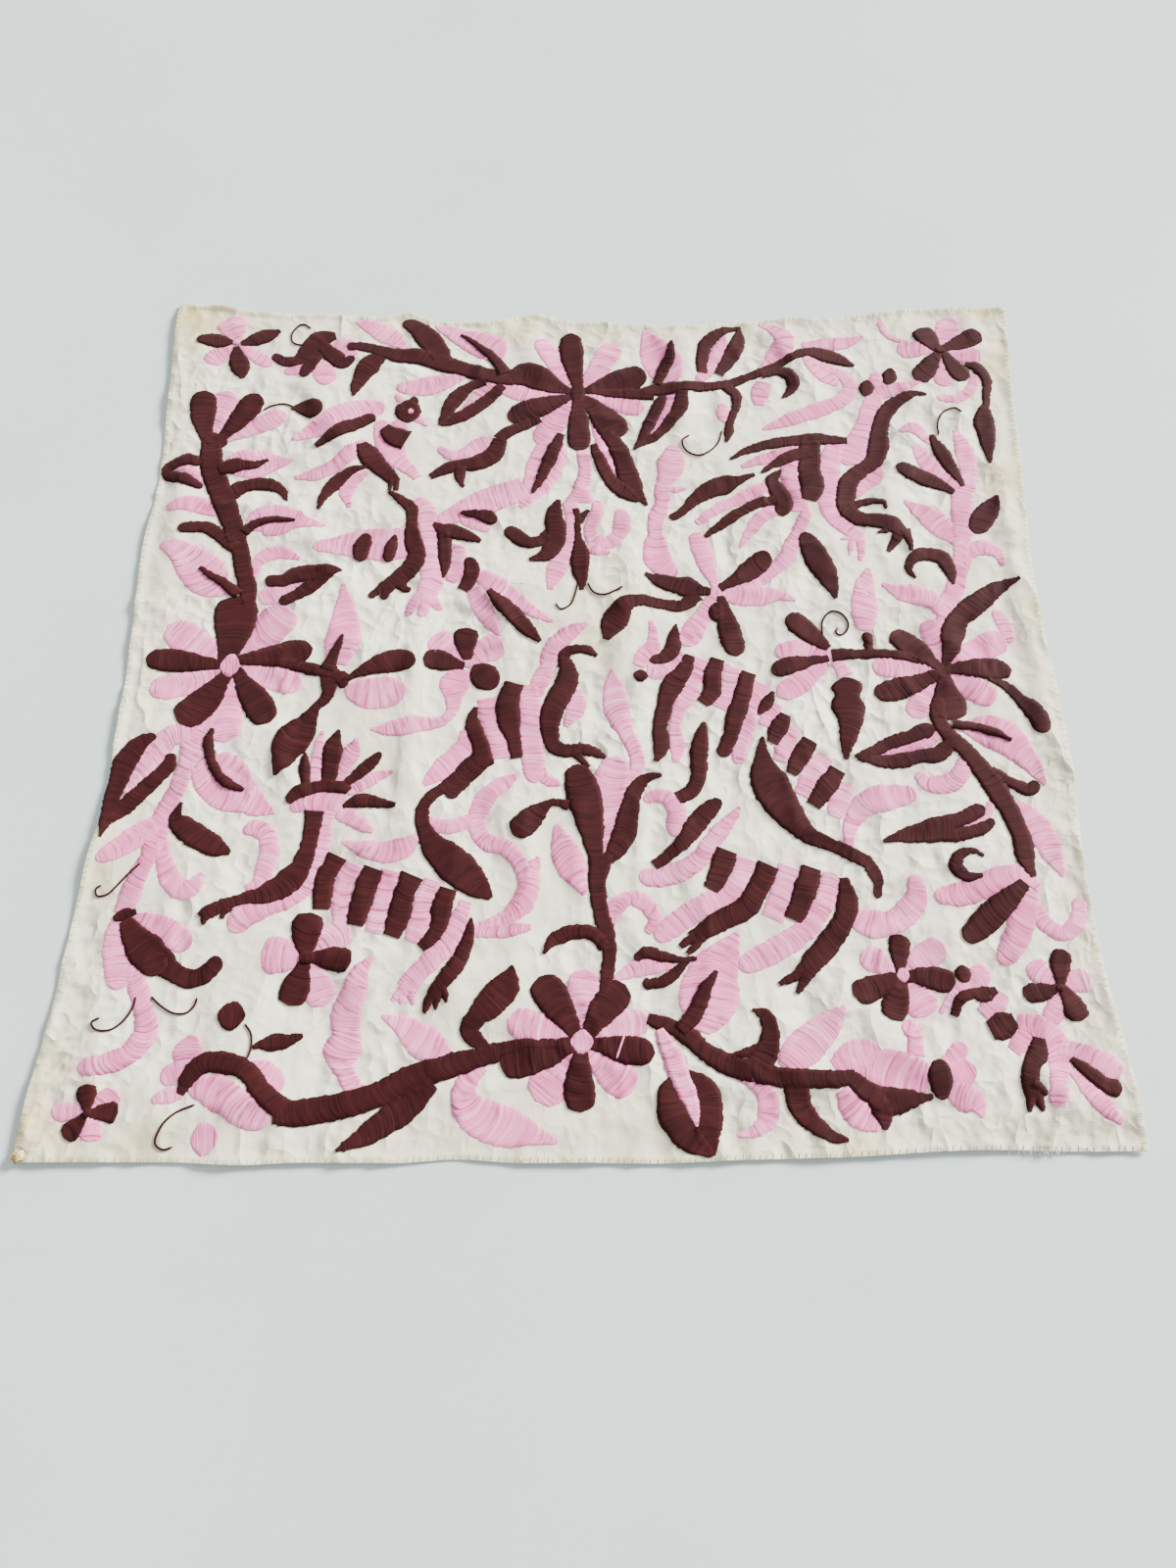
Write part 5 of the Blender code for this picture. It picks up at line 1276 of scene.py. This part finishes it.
# Thin single threads: dark or pink, then points along each
THREAD_LINES = (
    ("D", (-41.8, 56.0), (-43.0, 57.0), (-44.6, 55.0), (-44.2, 53.4), (-42.2, 52.8)),
    ("D", (-47.1, 40.6), (-45.6, 41.6), (-44.3, 42.0), (-42.9, 41.6)),
    ("D", (18.6, 38.2), (18.0, 36.0), (15.5, 33.9), (13.5, 34.8), (12.9, 36.2), (14.0, 37.4)),
    ("D", (49.5, 37.8), (49.6, 40.2), (50.8, 42.0), (52.2, 42.5), (53.1, 41.6)),
    ("D", (-1.6, 12.3), (-1.9, 10.5), (-2.6, 8.8), (-3.8, 8.2), (-4.5, 9.1)),
    ("D", (-0.3, 12.4), (0.6, 10.9), (2.0, 10.4), (3.4, 10.9), (4.5, 11.5)),
    ("D", (4.5, 11.5), (4.0, 11.3), (4.1, 10.8)),
    ("D", (30.7, 4.8), (30.9, 7.0), (32.0, 8.2), (33.5, 7.7), (34.2, 6.5), (33.9, 5.4), (32.9, 4.9),
     (32.5, 5.4), (32.8, 5.9)),
    ("D", (-53.4, -28.2), (-54.6, -29.5), (-55.8, -31.0), (-57.0, -32.2), (-58.0, -32.3), (-58.2, -31.4),
     (-57.6, -31.0)),
    ("D", (-51.4, -44.3), (-51.5, -45.6), (-52.5, -47.2), (-54.0, -48.2), (-55.4, -48.1), (-55.9, -47.4),
     (-55.0, -46.8)),
    ("D", (-49.6, -44.3), (-48.3, -45.4), (-46.5, -46.2), (-45.2, -46.0), (-44.5, -45.1), (-44.4, -44.3)),
    ("D", (-38.5, -47.3), (-37.7, -48.3), (-37.4, -49.8), (-37.6, -51.3)),
    ("D", (-42.8, -56.3), (-44.8, -57.2), (-46.3, -59.0), (-46.6, -60.6), (-45.7, -61.1), (-44.7, -60.8)),
    ("P", (4.6, -48.0), (4.2, -49.2), (3.7, -50.7)),
)

# Curls and rings that were drawn on the cloth and never sewn over
DRAWN_LINES = (
    ((-12.8, 16.0), (-12.4, 13.6), (-10.8, 12.2), (-8.6, 12.0), (-7.2, 13.2), (-7.0, 15.2), (-8.2, 16.9),
     (-10.6, 17.4), (-12.2, 16.6)),
    ((2.0, 13.2), (4.2, 13.8), (5.2, 15.4), (4.6, 16.8)),
    ((-15.4, 38.6), (-14.8, 37.2), (-13.0, 36.8), (-11.8, 38.0), (-12.4, 39.4), (-14.0, 39.8)),
    ((34.0, 39.4), (35.6, 38.6), (37.4, 39.2), (38.0, 40.8), (36.8, 42.2)),
    ((39.0, 8.2), (40.0, 9.0), (41.3, 8.6), (41.4, 7.4), (40.6, 6.6)),
    ((58.5, -43.2), (59.6, -45.3), (59.2, -47.4), (57.6, -48.2), (56.9, -47.3)),
    ((34.2, 33.0), (35.4, 31.9), (37.0, 32.2), (37.9, 33.6)),
)

PIECE_COLOURS = {"D": ("dark", "dark_floss"), "P": ("pink", "pink_floss")}


# Materials

def new_material(name):
    """A node material, with its shader and a helper that adds linked nodes."""
    material = bpy.data.materials.new(name)
    material.use_nodes = True
    tree = material.node_tree
    shader = tree.nodes["Principled BSDF"]
    shader.inputs["Metallic"].default_value = 0.0

    def add(kind, links=None, **settings):
        node = tree.nodes.new(kind)
        for key, value in settings.items():
            setattr(node, key, value)
        for socket, source in (links or {}).items():
            if isinstance(source, bpy.types.NodeSocket):
                tree.links.new(source, node.inputs[socket])
            else:
                node.inputs[socket].default_value = source
        return node

    return material, tree, shader, add


def colour_of(red, green, blue):
    """A colour given as seen on a screen, 0 to 255, as the linear one that shaders take."""
    parts = []
    for value in (red, green, blue):
        share = value / 255
        parts.append(share / 12.92 if share <= 0.04045 else ((share + 0.055) / 1.055) ** 2.4)
    return (*parts, 1.0)


def ramp(add, source, stops):
    """A colour ramp with the given places and colours."""
    node = add("ShaderNodeValToRGB", {"Fac": source})
    elements = node.color_ramp.elements
    while len(elements) < len(stops):
        elements.new(0.5)
    for element, (place, colour) in zip(elements, stops):
        element.position = place
        element.color = colour
    return node.outputs["Color"]


def grey_ramp(add, source, stops):
    return ramp(add, source, [(place, (value, value, value, 1.0)) for place, value in stops])


def maths(add, operation, first, second=None):
    links = {0: first} if second is None else {0: first, 1: second}
    return add("ShaderNodeMath", links, operation=operation).outputs[0]


def noise(add, vector, scale, detail=3.0, roughness=0.55):
    links = {"Vector": vector, "Scale": scale, "Detail": detail, "Roughness": roughness}
    return add("ShaderNodeTexNoise", links).outputs["Fac"]


def mixed_colour(add, factor, first, second, blend="MIX"):
    node = add("ShaderNodeMix", data_type="RGBA", blend_type=blend)
    tree = node.id_data
    for socket, source in ((0, factor), (6, first), (7, second)):
        if isinstance(source, bpy.types.NodeSocket):
            tree.links.new(source, node.inputs[socket])
        else:
            node.inputs[socket].default_value = source
    return node.outputs[2]


def floss_material(name, shaded_gap, dark, middle, light, worn, sheen):
    """Stranded cotton thread: tone from thread to thread, painted shade in the gaps and dips between
    threads, and fine strands.
    """
    material, tree, shader, add = new_material(name)
    tone_and_shade = add("ShaderNodeAttribute", attribute_name="tone_and_shade", attribute_type="GEOMETRY").outputs["Color"]
    parts = add("ShaderNodeSeparateColor", {"Color": tone_and_shade})
    place = add("ShaderNodeTexCoord").outputs["Object"]
    wide = noise(add, place, 9.0, 4.0)
    fine = noise(add, place, 900.0, 2.0)
    drift = maths(add, "MULTIPLY", maths(add, "SUBTRACT", wide, 0.5), 0.7)
    shade = maths(add, "ADD", parts.outputs["Red"], drift)
    shade = maths(add, "ADD", shade, maths(add, "MULTIPLY", maths(add, "SUBTRACT", fine, 0.5), 0.5))
    thread = ramp(add, shade, [(0.15, dark), (0.5, middle), (0.85, light)])
    patch = grey_ramp(add, noise(add, place, 26.0, 5.0, 0.7), [(0.60, 0.0), (0.76, 0.45)])
    thread = mixed_colour(add, patch, thread, worn)
    # Painted shade between threads: the first colour is mixed in where the second tone value is low
    depth = grey_ramp(add, parts.outputs["Green"], [(0.0, 0.0), (0.5, 0.62), (0.9, 1.0)])
    colour = mixed_colour(add, depth, shaded_gap, thread)
    tree.links.new(colour, shader.inputs["Base Color"])
    shader.inputs["Roughness"].default_value = 0.78
    shader.inputs["Specular IOR Level"].default_value = 0.1
    shader.inputs["Sheen Weight"].default_value = sheen
    shader.inputs["Sheen Roughness"].default_value = 0.5
    lumps = noise(add, place, 1500.0, 2.0)
    links = {"Height": lumps, "Strength": 0.35, "Distance": 0.0004}
    tree.links.new(add("ShaderNodeBump", links).outputs["Normal"], shader.inputs["Normal"])
    return material


# The first colour of each floss is the painted shade in the gaps between threads
DARK_FLOSS = floss_material(
    "dark_floss", colour_of(22, 5, 6), colour_of(44, 12, 14), colour_of(54, 16, 18),
    colour_of(64, 22, 23), colour_of(66, 28, 29), 0.03,
)
PINK_FLOSS = floss_material(
    "pink_floss", colour_of(110, 20, 62), colour_of(230, 108, 158), colour_of(244, 136, 182),
    colour_of(252, 176, 206), colour_of(240, 176, 202), 0.12,
)
FLOSS = {"D": DARK_FLOSS, "P": PINK_FLOSS}


# The embroidery

def finished(piece, material):
    """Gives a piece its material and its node."""
    piece.data.materials.append(material)
    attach(piece, "root")
    return piece


def band_grids(rows, letter, random):
    """The grids of thread for a motif's rows in one colour."""
    grids = []
    for row in rows:
        if row[0][0] != letter:
            continue
        over = DARK_STANDS_OVER if letter == "D" else 0.0
        over += OVER_OTHER if row[0].endswith("+") else 0.0
        if row[1] == "petal":
            points, ends = petal_points(*row[2:], random.uniform(-0.05, 0.05)), "br"
        else:
            points, ends = row[2:], row[1]
        grids.append(laid_band(points, ends, random, over, FILLED_OUT[letter]))
    return grids


def sew_motifs():
    for number, (name, rows) in enumerate(MOTIFS.items()):
        random = numpy.random.default_rng(100 + number)
        for letter, (word, slot) in PIECE_COLOURS.items():
            grids = band_grids(rows, letter, random)
            if grids:
                finished(joined_grids(f"{name}_{word}", grids), FLOSS[letter])


sew_motifs()


# Single threads and drawn lines

def line_places(points, spacing):
    """Even places along a smooth curve through the points, in metres."""
    place, _ = smooth_spine([(x, y, 1.0) for x, y in points])
    run = numpy.concatenate([[0.0], numpy.cumsum(numpy.hypot(*numpy.diff(place, axis=0).T))])
    even = numpy.linspace(0.0, run[-1], max(3, int(run[-1] / spacing)))
    return numpy.interp(even, run, place[:, 0]), numpy.interp(even, run, place[:, 1])


def round_thread(x, y, radius, sides, raised=0.0, closed_ends=True):
    """A round thread that lies on the cloth along the places given."""
    tangent_x, tangent_y = numpy.gradient(x), numpy.gradient(y)
    length = numpy.maximum(numpy.hypot(tangent_x, tangent_y), 1e-9)
    side_x, side_y = tangent_y / length, -tangent_x / length
    turn = numpy.linspace(0.0, 2 * math.pi, sides + 1)
    taper = numpy.ones(len(x))
    if closed_ends:
        taper[[0, -1]] = 0.15
    reach = radius * taper[:, None]
    centre = seat(x, y)[:, None] + SEAT_GAP + radius * 0.9 + raised
    points = numpy.stack([
        x[:, None] + side_x[:, None] * numpy.cos(turn) * reach,
        y[:, None] + side_y[:, None] * numpy.cos(turn) * reach,
        centre + numpy.sin(turn) * reach,
    ], axis=-1)
    tone_and_shade = numpy.ones((*points.shape[:2], 4)) * (0.5, 0.9, 0.5, 1.0)
    wobble = numpy.sin(numpy.arange(len(x)) * 1.7)
    tone_and_shade[..., 0] = 0.3 + 0.2 * wobble[:, None]
    return points, tone_and_shade


def sew_single_threads():
    for letter, (word, slot) in PIECE_COLOURS.items():
        grids = []
        for line in THREAD_LINES:
            if line[0] == letter:
                x, y = line_places(line[1:], TENDRIL_SPACING)
                raised = PINK_TENDRIL_RAISED if letter == "P" else 0.0
                grids.append(round_thread(x, y, TENDRIL_RADIUS, 7, raised))
        finished(joined_grids(f"single_threads_{word}", grids), FLOSS[letter])


def drawn_ribbon(points, width):
    x, y = line_places(points, 0.003)
    tangent_x, tangent_y = numpy.gradient(x), numpy.gradient(y)
    length = numpy.maximum(numpy.hypot(tangent_x, tangent_y), 1e-9)
    side = numpy.array([-0.5, 0.5]) * width
    across_x = x[:, None] + (tangent_y / length)[:, None] * side
    across_y = y[:, None] - (tangent_x / length)[:, None] * side
    height = seat(across_x, across_y) + 0.00005
    grid = numpy.stack([across_x, across_y, height], axis=-1)
    return grid[:, ::-1], numpy.ones((*grid.shape[:2], 4)) * 0.5


def pencil_material():
    material, tree, shader, add = new_material("pencil")
    place = add("ShaderNodeTexCoord").outputs["Object"]
    faded = noise(add, place, 420.0, 3.0)
    colour = ramp(add, faded, [(0.35, colour_of(196, 196, 190)), (0.7, colour_of(150, 150, 150))])
    tree.links.new(colour, shader.inputs["Base Color"])
    shader.inputs["Roughness"].default_value = 0.85
    shader.inputs["Specular IOR Level"].default_value = 0.2
    return material


sew_single_threads()
finished(joined_grids("drawn_lines", [drawn_ribbon(points, 0.0008) for points in DRAWN_LINES]),
         pencil_material())


# The cloth

STAINS = (
    # x, y, radius, strength, in centimetres
    (-59.0, 58.0, 7.0, 0.9),
    (-54.0, 60.5, 4.0, 0.6),
    (-10.0, 57.0, 3.0, 0.7),
    (2.0, 56.3, 2.6, 0.6),
    (-30.0, 58.5, 4.0, 0.35),
    (60.0, 52.0, 4.5, 0.7),
    (58.5, 30.0, 3.6, 0.6),
    (59.0, 8.0, 3.0, 0.5),
    (58.5, 61.0, 4.0, 0.7),
    (-58.5, -30.0, 3.0, 0.35),
    (-60.0, -58.0, 5.0, 0.7),
    (-57.0, -57.0, 10.0, 0.35),
    (-48.0, -60.0, 4.5, 0.5),
    (-26.0, -54.5, 1.2, 0.8),
    (1.0, 3.0, 11.0, 0.28),
    (5.0, 13.0, 8.0, 0.22),
    (15.0, -3.0, 9.0, 0.16),
    (30.0, -60.5, 3.4, 0.4),
    (22.0, 57.0, 2.2, 0.35),
)
SPOT_X, SPOT_Y = -0.607, 0.607
BLEED_REACH = 0.006
EDGE_YELLOW_REACH = 0.08


def stain_and_shadow_values(x, y):
    """How stained each place on the cloth is: yellow stains, and brown that paints the lump's shadow on the
    cloth around it, with a small dark spot.
    """
    yellow = numpy.zeros_like(x)
    wander = 1.0 + 0.45 * soft_noise(x, y, 0.021, 71)
    for stain_x, stain_y, radius, strength in STAINS:
        away = numpy.hypot(x - stain_x * CM, y - stain_y * CM) * wander
        yellow = numpy.maximum(yellow, strength * bump(away, radius * CM) ** 0.6)
    # Painted shadow: brown around the corner lump, then a small dark spot near the upper left corner
    lump_shadow_and_spot = 0.6 * bump(numpy.hypot(x - LUMP_X - 0.005, y - LUMP_Y - 0.008), 0.015)
    lump_shadow_and_spot = lump_shadow_and_spot + 0.8 * bump(numpy.hypot(x - SPOT_X, y - SPOT_Y), 0.004)
    return yellow, lump_shadow_and_spot


def pink_bleed(x, y):
    """How far the pink dye has spread into the cloth beside its thread, from 0 to 1."""
    bled = numpy.zeros_like(x)
    rows = [row for motif in MOTIFS.values() for row in motif if row[0][0] == "P"]
    for row in rows:
        points = petal_points(*row[2:], 0.0) if row[1] == "petal" else row[2:]
        place, width = smooth_spine(points)
        reach = width.max() / 2 + 4 * BLEED_REACH
        low, high = place.min(axis=0) - reach, place.max(axis=0) + reach
        near = (x > low[0]) & (x < high[0]) & (y > low[1]) & (y < high[1])
        away = numpy.hypot(x[near][:, None] - place[:, 0], y[near][:, None] - place[:, 1]) - width / 2
        spread = numpy.exp(-numpy.maximum(away.min(axis=1), 0.0) / BLEED_REACH)
        bled[near] = numpy.maximum(bled[near], spread)
    return bled


def closed_sheet_mesh():
    """The cloth as one closed sheet, with a flat layout in metres, the stains and the painted shadow around
    the corner lump.
    """
    rows, columns = SHEET_X.shape
    top = numpy.stack([SHEET_X, SHEET_Y, SHEET_TOP], axis=-1).reshape(-1, 3)
    low = numpy.stack([SHEET_X, SHEET_Y, SHEET_LOW], axis=-1).reshape(-1, 3)
    below = rows * columns
    index = numpy.arange(below).reshape(rows, columns)
    upper = ring_of(index)
    lower = upper[:, ::-1] + below
    border = numpy.concatenate([index[0, :-1], index[:-1, -1], index[-1, :0:-1], index[:0:-1, 0]])
    following = numpy.roll(border, -1)
    sides = numpy.stack([border, border + below, following + below, following], axis=-1)
    quads = numpy.concatenate([upper, lower, sides])
    mesh = quad_mesh("cloth_sheet", numpy.concatenate([top, low]), quads)
    across, up = numpy.meshgrid(COLUMN_LINES * FLAT_WIDTH, ROW_LINES * FLAT_HEIGHT)
    flat = numpy.tile(numpy.stack([across, up], axis=-1).reshape(-1, 2), (2, 1))
    layout = mesh.uv_layers.new(name="flat")
    layout.data.foreach_set("uv", flat[quads.ravel()].astype(numpy.float32).ravel())
    yellow, lump_shadow_and_spot = stain_and_shadow_values(SHEET_X, SHEET_Y)
    from_sides = numpy.minimum(across, FLAT_WIDTH - across)
    from_edge = numpy.minimum(from_sides, numpy.minimum(up, FLAT_HEIGHT - up))
    inside = numpy.clip(from_edge / EDGE_YELLOW_REACH, 0, 1)
    stain_and_shadow = numpy.stack([yellow, lump_shadow_and_spot, inside, numpy.ones_like(lump_shadow_and_spot)], axis=-1)
    paint_points(mesh, "stain_and_shadow", numpy.tile(stain_and_shadow.reshape(-1, 4), (2, 1)))
    bleed = numpy.repeat(pink_bleed(SHEET_X, SHEET_Y).ravel(), 4)
    paint_points(mesh, "bleed", numpy.tile(bleed, 2))
    return mesh


def cotton_material():
    """Plain woven cotton: two sets of yarns, slubs, yellow stains, a painted brown shadow around the corner
    lump and fine wrinkles.
    """
    material, tree, shader, add = new_material("cotton")
    flat = add("ShaderNodeUVMap", uv_map="flat").outputs["UV"]
    place = add("ShaderNodeTexCoord").outputs["Object"]
    stain_and_shadow = add("ShaderNodeAttribute", attribute_name="stain_and_shadow", attribute_type="GEOMETRY").outputs["Color"]
    parts = add("ShaderNodeSeparateColor", {"Color": stain_and_shadow})
    warp = add("ShaderNodeTexWave", {"Vector": flat, "Scale": 210.0, "Distortion": 0.6, "Detail": 1.0},
               bands_direction="X").outputs["Fac"]
    weft = add("ShaderNodeTexWave", {"Vector": flat, "Scale": 210.0, "Distortion": 0.6, "Detail": 1.0},
               bands_direction="Y").outputs["Fac"]
    weave = maths(add, "MULTIPLY", warp, weft)
    slub_place = add("ShaderNodeMapping", {"Vector": flat, "Scale": (30.0, 420.0, 1.0)}).outputs["Vector"]
    slub = noise(add, slub_place, 1.0, 2.0)
    slub_up = add("ShaderNodeMapping", {"Vector": flat, "Scale": (420.0, 30.0, 1.0)}).outputs["Vector"]
    slub = maths(add, "ADD", slub, noise(add, slub_up, 1.0, 2.0))
    cloudy = noise(add, place, 5.0, 4.0)
    base = ramp(add, cloudy, [(0.3, colour_of(232, 226, 197)), (0.7, colour_of(240, 236, 214))])
    yellowed = mixed_colour(add, parts.outputs["Blue"], colour_of(217, 212, 178), base)
    rough_edge = noise(add, place, 60.0, 5.0, 0.7)
    ragged = grey_ramp(add, rough_edge, [(0.25, 0.35), (0.6, 1.0)])
    amount = maths(add, "MULTIPLY", parts.outputs["Red"], ragged)
    stained = mixed_colour(add, amount, yellowed, colour_of(196, 176, 112))
    # Painted shadow: brown around the corner lump, and the small dark spot
    with_lump_shadow = mixed_colour(add, parts.outputs["Green"], stained, colour_of(126, 104, 78))
    bleed = add("ShaderNodeAttribute", attribute_name="bleed", attribute_type="GEOMETRY").outputs["Fac"]
    patchy = grey_ramp(add, noise(add, place, 9.0, 3.0), [(0.35, 0.12), (0.65, 0.55)])
    with_lump_shadow = mixed_colour(add, maths(add, "MULTIPLY", bleed, patchy), with_lump_shadow, colour_of(226, 178, 192))
    darker = grey_ramp(add, maths(add, "MULTIPLY", slub, 0.5), [(0.36, 0.93), (0.5, 0.985), (0.64, 1.0)])
    shaded = mixed_colour(add, 1.0, with_lump_shadow, darker, "MULTIPLY")
    tree.links.new(shaded, shader.inputs["Base Color"])
    shader.inputs["Roughness"].default_value = 0.92
    shader.inputs["Specular IOR Level"].default_value = 0.12
    shader.inputs["Sheen Weight"].default_value = 0.15
    wrinkle_place = add("ShaderNodeMapping", {"Vector": place, "Scale": (1.0, 0.55, 1.0)}).outputs["Vector"]
    wrinkle = maths(add, "ABSOLUTE", maths(add, "SUBTRACT", noise(add, wrinkle_place, 15.0, 1.6), 0.5))
    second = maths(add, "ABSOLUTE", maths(add, "SUBTRACT", noise(add, place, 30.0, 1.5), 0.5))
    wrinkles = maths(add, "ADD", wrinkle, maths(add, "MULTIPLY", second, 0.45))
    creased = grey_ramp(add, noise(add, place, 4.5, 2.0), [(0.38, 0.25), (0.62, 1.0)])
    wrinkles = maths(add, "MULTIPLY", wrinkles, creased)
    coarse = add("ShaderNodeBump", {"Height": wrinkles, "Strength": 1.0, "Distance": 0.034}, invert=True)
    yarns = maths(add, "ADD", weave, maths(add, "MULTIPLY", slub, 0.8))
    links = {"Height": yarns, "Strength": 0.5, "Distance": 0.0003, "Normal": coarse.outputs["Normal"]}
    tree.links.new(add("ShaderNodeBump", links).outputs["Normal"], shader.inputs["Normal"])
    return material


COTTON = cotton_material()


# The hem stitches

STITCH_PITCH = 0.0085
STITCH_RADIUS = 0.00036
STITCH_START = 0.0004
STITCH_REACH_SHARE = 0.72
WISP_COUNT = 30
WISP_RADIUS = 0.00022
# The share of the lower hem at which it has frayed, and how widely
FRAYED_AT, FRAYED_SPREAD = 0.905, 0.011


def hem_stitch(u, v, inward, random):
    """One overcast stitch from the edge, over the hem and down through the cloth."""
    share = numpy.linspace(0.0, 1.0, 7)
    reach = STITCH_REACH_SHARE * HEM_WIDTH + random.uniform(0.0002, 0.0016)
    drift = random.uniform(0.0010, 0.0024)
    inward_u, inward_v = inward
    x, y = outline_point(
        u + (inward_u * share * reach + inward_v * share * drift) / WIDTH,
        v + (inward_v * share * reach + inward_u * share * drift) / HEIGHT,
    )
    points, tone_and_shade = round_thread(x, y, STITCH_RADIUS, 5)
    return points, tone_and_shade


def hem_stitches():
    random = numpy.random.default_rng(5)
    grids = []
    for length, side in ((WIDTH, "lower"), (WIDTH, "upper"), (HEIGHT, "left"), (HEIGHT, "right")):
        count = int(length / STITCH_PITCH)
        for number in range(1, count):
            along = (number + random.uniform(-0.18, 0.18)) / count
            start = STITCH_START / length
            u, v, inward = {
                "lower": (along, start, (0.0, 1.0)),
                "upper": (along, 1 - start, (0.0, -1.0)),
                "left": (start, along, (1.0, 0.0)),
                "right": (1 - start, along, (-1.0, 0.0)),
            }[side]
            grids.append(hem_stitch(u, v, inward, random))
    return grids


def frayed_wisps():
    """Loose yarn ends where the lower hem has frayed."""
    random = numpy.random.default_rng(6)
    share = numpy.linspace(0.0, 1.0, 5)
    grids = []
    for along in random.normal(FRAYED_AT, FRAYED_SPREAD, WISP_COUNT):
        reach = random.uniform(0.001, 0.0055)
        drift = random.uniform(-0.004, 0.004)
        x, y = outline_point(along + share * drift / WIDTH, (0.002 - share * (0.002 + reach)) / HEIGHT)
        grids.append(round_thread(x, y, WISP_RADIUS, 5))
    return grids


def hem_thread_material():
    material, tree, shader, add = new_material("hem_thread")
    place = add("ShaderNodeTexCoord").outputs["Object"]
    mottled = noise(add, place, 40.0)
    colour = ramp(add, mottled, [(0.3, colour_of(192, 186, 162)), (0.7, colour_of(218, 213, 194))])
    tree.links.new(colour, shader.inputs["Base Color"])
    shader.inputs["Roughness"].default_value = 0.8
    shader.inputs["Specular IOR Level"].default_value = 0.2
    links = {"Height": noise(add, place, 1800.0, 2.0), "Strength": 0.3, "Distance": 0.0002}
    tree.links.new(add("ShaderNodeBump", links).outputs["Normal"], shader.inputs["Normal"])
    return material


finished(joined_grids("hem_stitches", hem_stitches() + frayed_wisps()), hem_thread_material())


# The floor, the light and the camera

SUN_FROM = (0.74, 0.50, 0.42)
SUN_STRENGTH = 14.0
SUN_SOFTNESS_DEG = 18.0
SKY_STRENGTH = 1.05
FLOOR_HALF = 4.0


def floor():
    mesh = bpy.data.meshes.new("floor")
    low, high = -FLOOR_HALF, FLOOR_HALF
    corners = [(low, low, 0), (high, low, 0), (high, high, 0), (low, high, 0)]
    mesh.from_pydata(corners, [], [(0, 1, 2, 3)])
    stage = placed("floor", mesh)
    material, tree, shader, add = new_material("floor")
    place = add("ShaderNodeTexCoord").outputs["Object"]
    cloudy = noise(add, place, 2.5, 4.0)
    colour = ramp(add, cloudy, [(0.3, colour_of(193, 207, 204)), (0.7, colour_of(201, 212, 209))])
    tree.links.new(colour, shader.inputs["Base Color"])
    shader.inputs["Roughness"].default_value = 0.7
    mesh.materials.append(material)


floor()

sheet = finished(placed("cloth_sheet", closed_sheet_mesh()), COTTON)
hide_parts("cloth")


def corner_lump():
    """The hard lump of folded cloth where two hems meet."""
    turn, fall = numpy.meshgrid(numpy.linspace(0.0, 2 * math.pi, 41), numpy.linspace(0.02, 1.0, 15))
    puckers = 1.0 + 0.10 * numpy.sin(5 * turn + 4 * fall) + 0.06 * numpy.sin(9 * turn - 7 * fall)
    reach = LUMP_RADIUS * numpy.sin(fall * math.pi / 2) ** 0.8 * puckers
    x = LUMP_X + reach * numpy.cos(turn)
    y = LUMP_Y + reach * numpy.sin(turn)
    base = float(seat(numpy.array([LUMP_X]), numpy.array([LUMP_Y]))[0]) - 0.0006
    z = base + LUMP_HEIGHT * numpy.cos(fall * math.pi / 2) ** 0.7 * (1.0 - 0.25 * (1.1 - puckers))
    tone_and_shade = numpy.ones((*x.shape, 4)) * 0.5
    return numpy.stack([x, y, z], axis=-1)[::-1], tone_and_shade


def lump_material():
    material, tree, shader, add = new_material("lump_cotton")
    place = add("ShaderNodeTexCoord").outputs["Object"]
    # Painted shade: dark brown patches laid by noise stand in for the shade in the lump's dents and on its
    # sides
    painted_dent_shade = noise(add, place, 160.0, 4.0)
    colour = ramp(add, painted_dent_shade, [(0.38, colour_of(120, 98, 62)), (0.60, colour_of(212, 190, 130))])
    tree.links.new(colour, shader.inputs["Base Color"])
    shader.inputs["Roughness"].default_value = 0.9
    shader.inputs["Specular IOR Level"].default_value = 0.15
    links = {"Height": noise(add, place, 300.0, 3.0), "Strength": 0.5, "Distance": 0.001}
    tree.links.new(add("ShaderNodeBump", links).outputs["Normal"], shader.inputs["Normal"])
    return material


finished(joined_grids("corner_lump", [corner_lump()]), lump_material())


def lights():
    lamp = bpy.data.lights.new("window", "SUN")
    lamp.energy = SUN_STRENGTH
    lamp.angle = math.radians(SUN_SOFTNESS_DEG)
    lamp.color = (1.0, 0.985, 0.965)
    window = bpy.data.objects.new("window", lamp)
    window.rotation_euler = Vector(SUN_FROM).to_track_quat("Z", "Y").to_euler()
    bpy.context.scene.collection.objects.link(window)
    world = bpy.data.worlds.new("sky")
    world.use_nodes = True
    background = world.node_tree.nodes["Background"]
    background.inputs["Color"].default_value = (0.93, 0.965, 1.0, 1.0)
    background.inputs["Strength"].default_value = SKY_STRENGTH
    bpy.context.scene.world = world


def camera():
    data = bpy.data.cameras.new("camera")
    data.lens = CAMERA_LENS
    data.sensor_width = CAMERA_SENSOR
    data.clip_end = 50.0
    view = bpy.data.objects.new("camera", data)
    tilt = Matrix.Rotation(math.radians(CAMERA_TILT_DEG), 4, "X")
    roll = Matrix.Rotation(math.radians(CAMERA_ROLL_DEG), 4, "Z")
    view.matrix_world = Matrix.Translation((CAMERA_X, CAMERA_Y, CAMERA_Z)) @ tilt @ roll
    bpy.context.scene.collection.objects.link(view)
    bpy.context.scene.camera = view


lights()
camera()
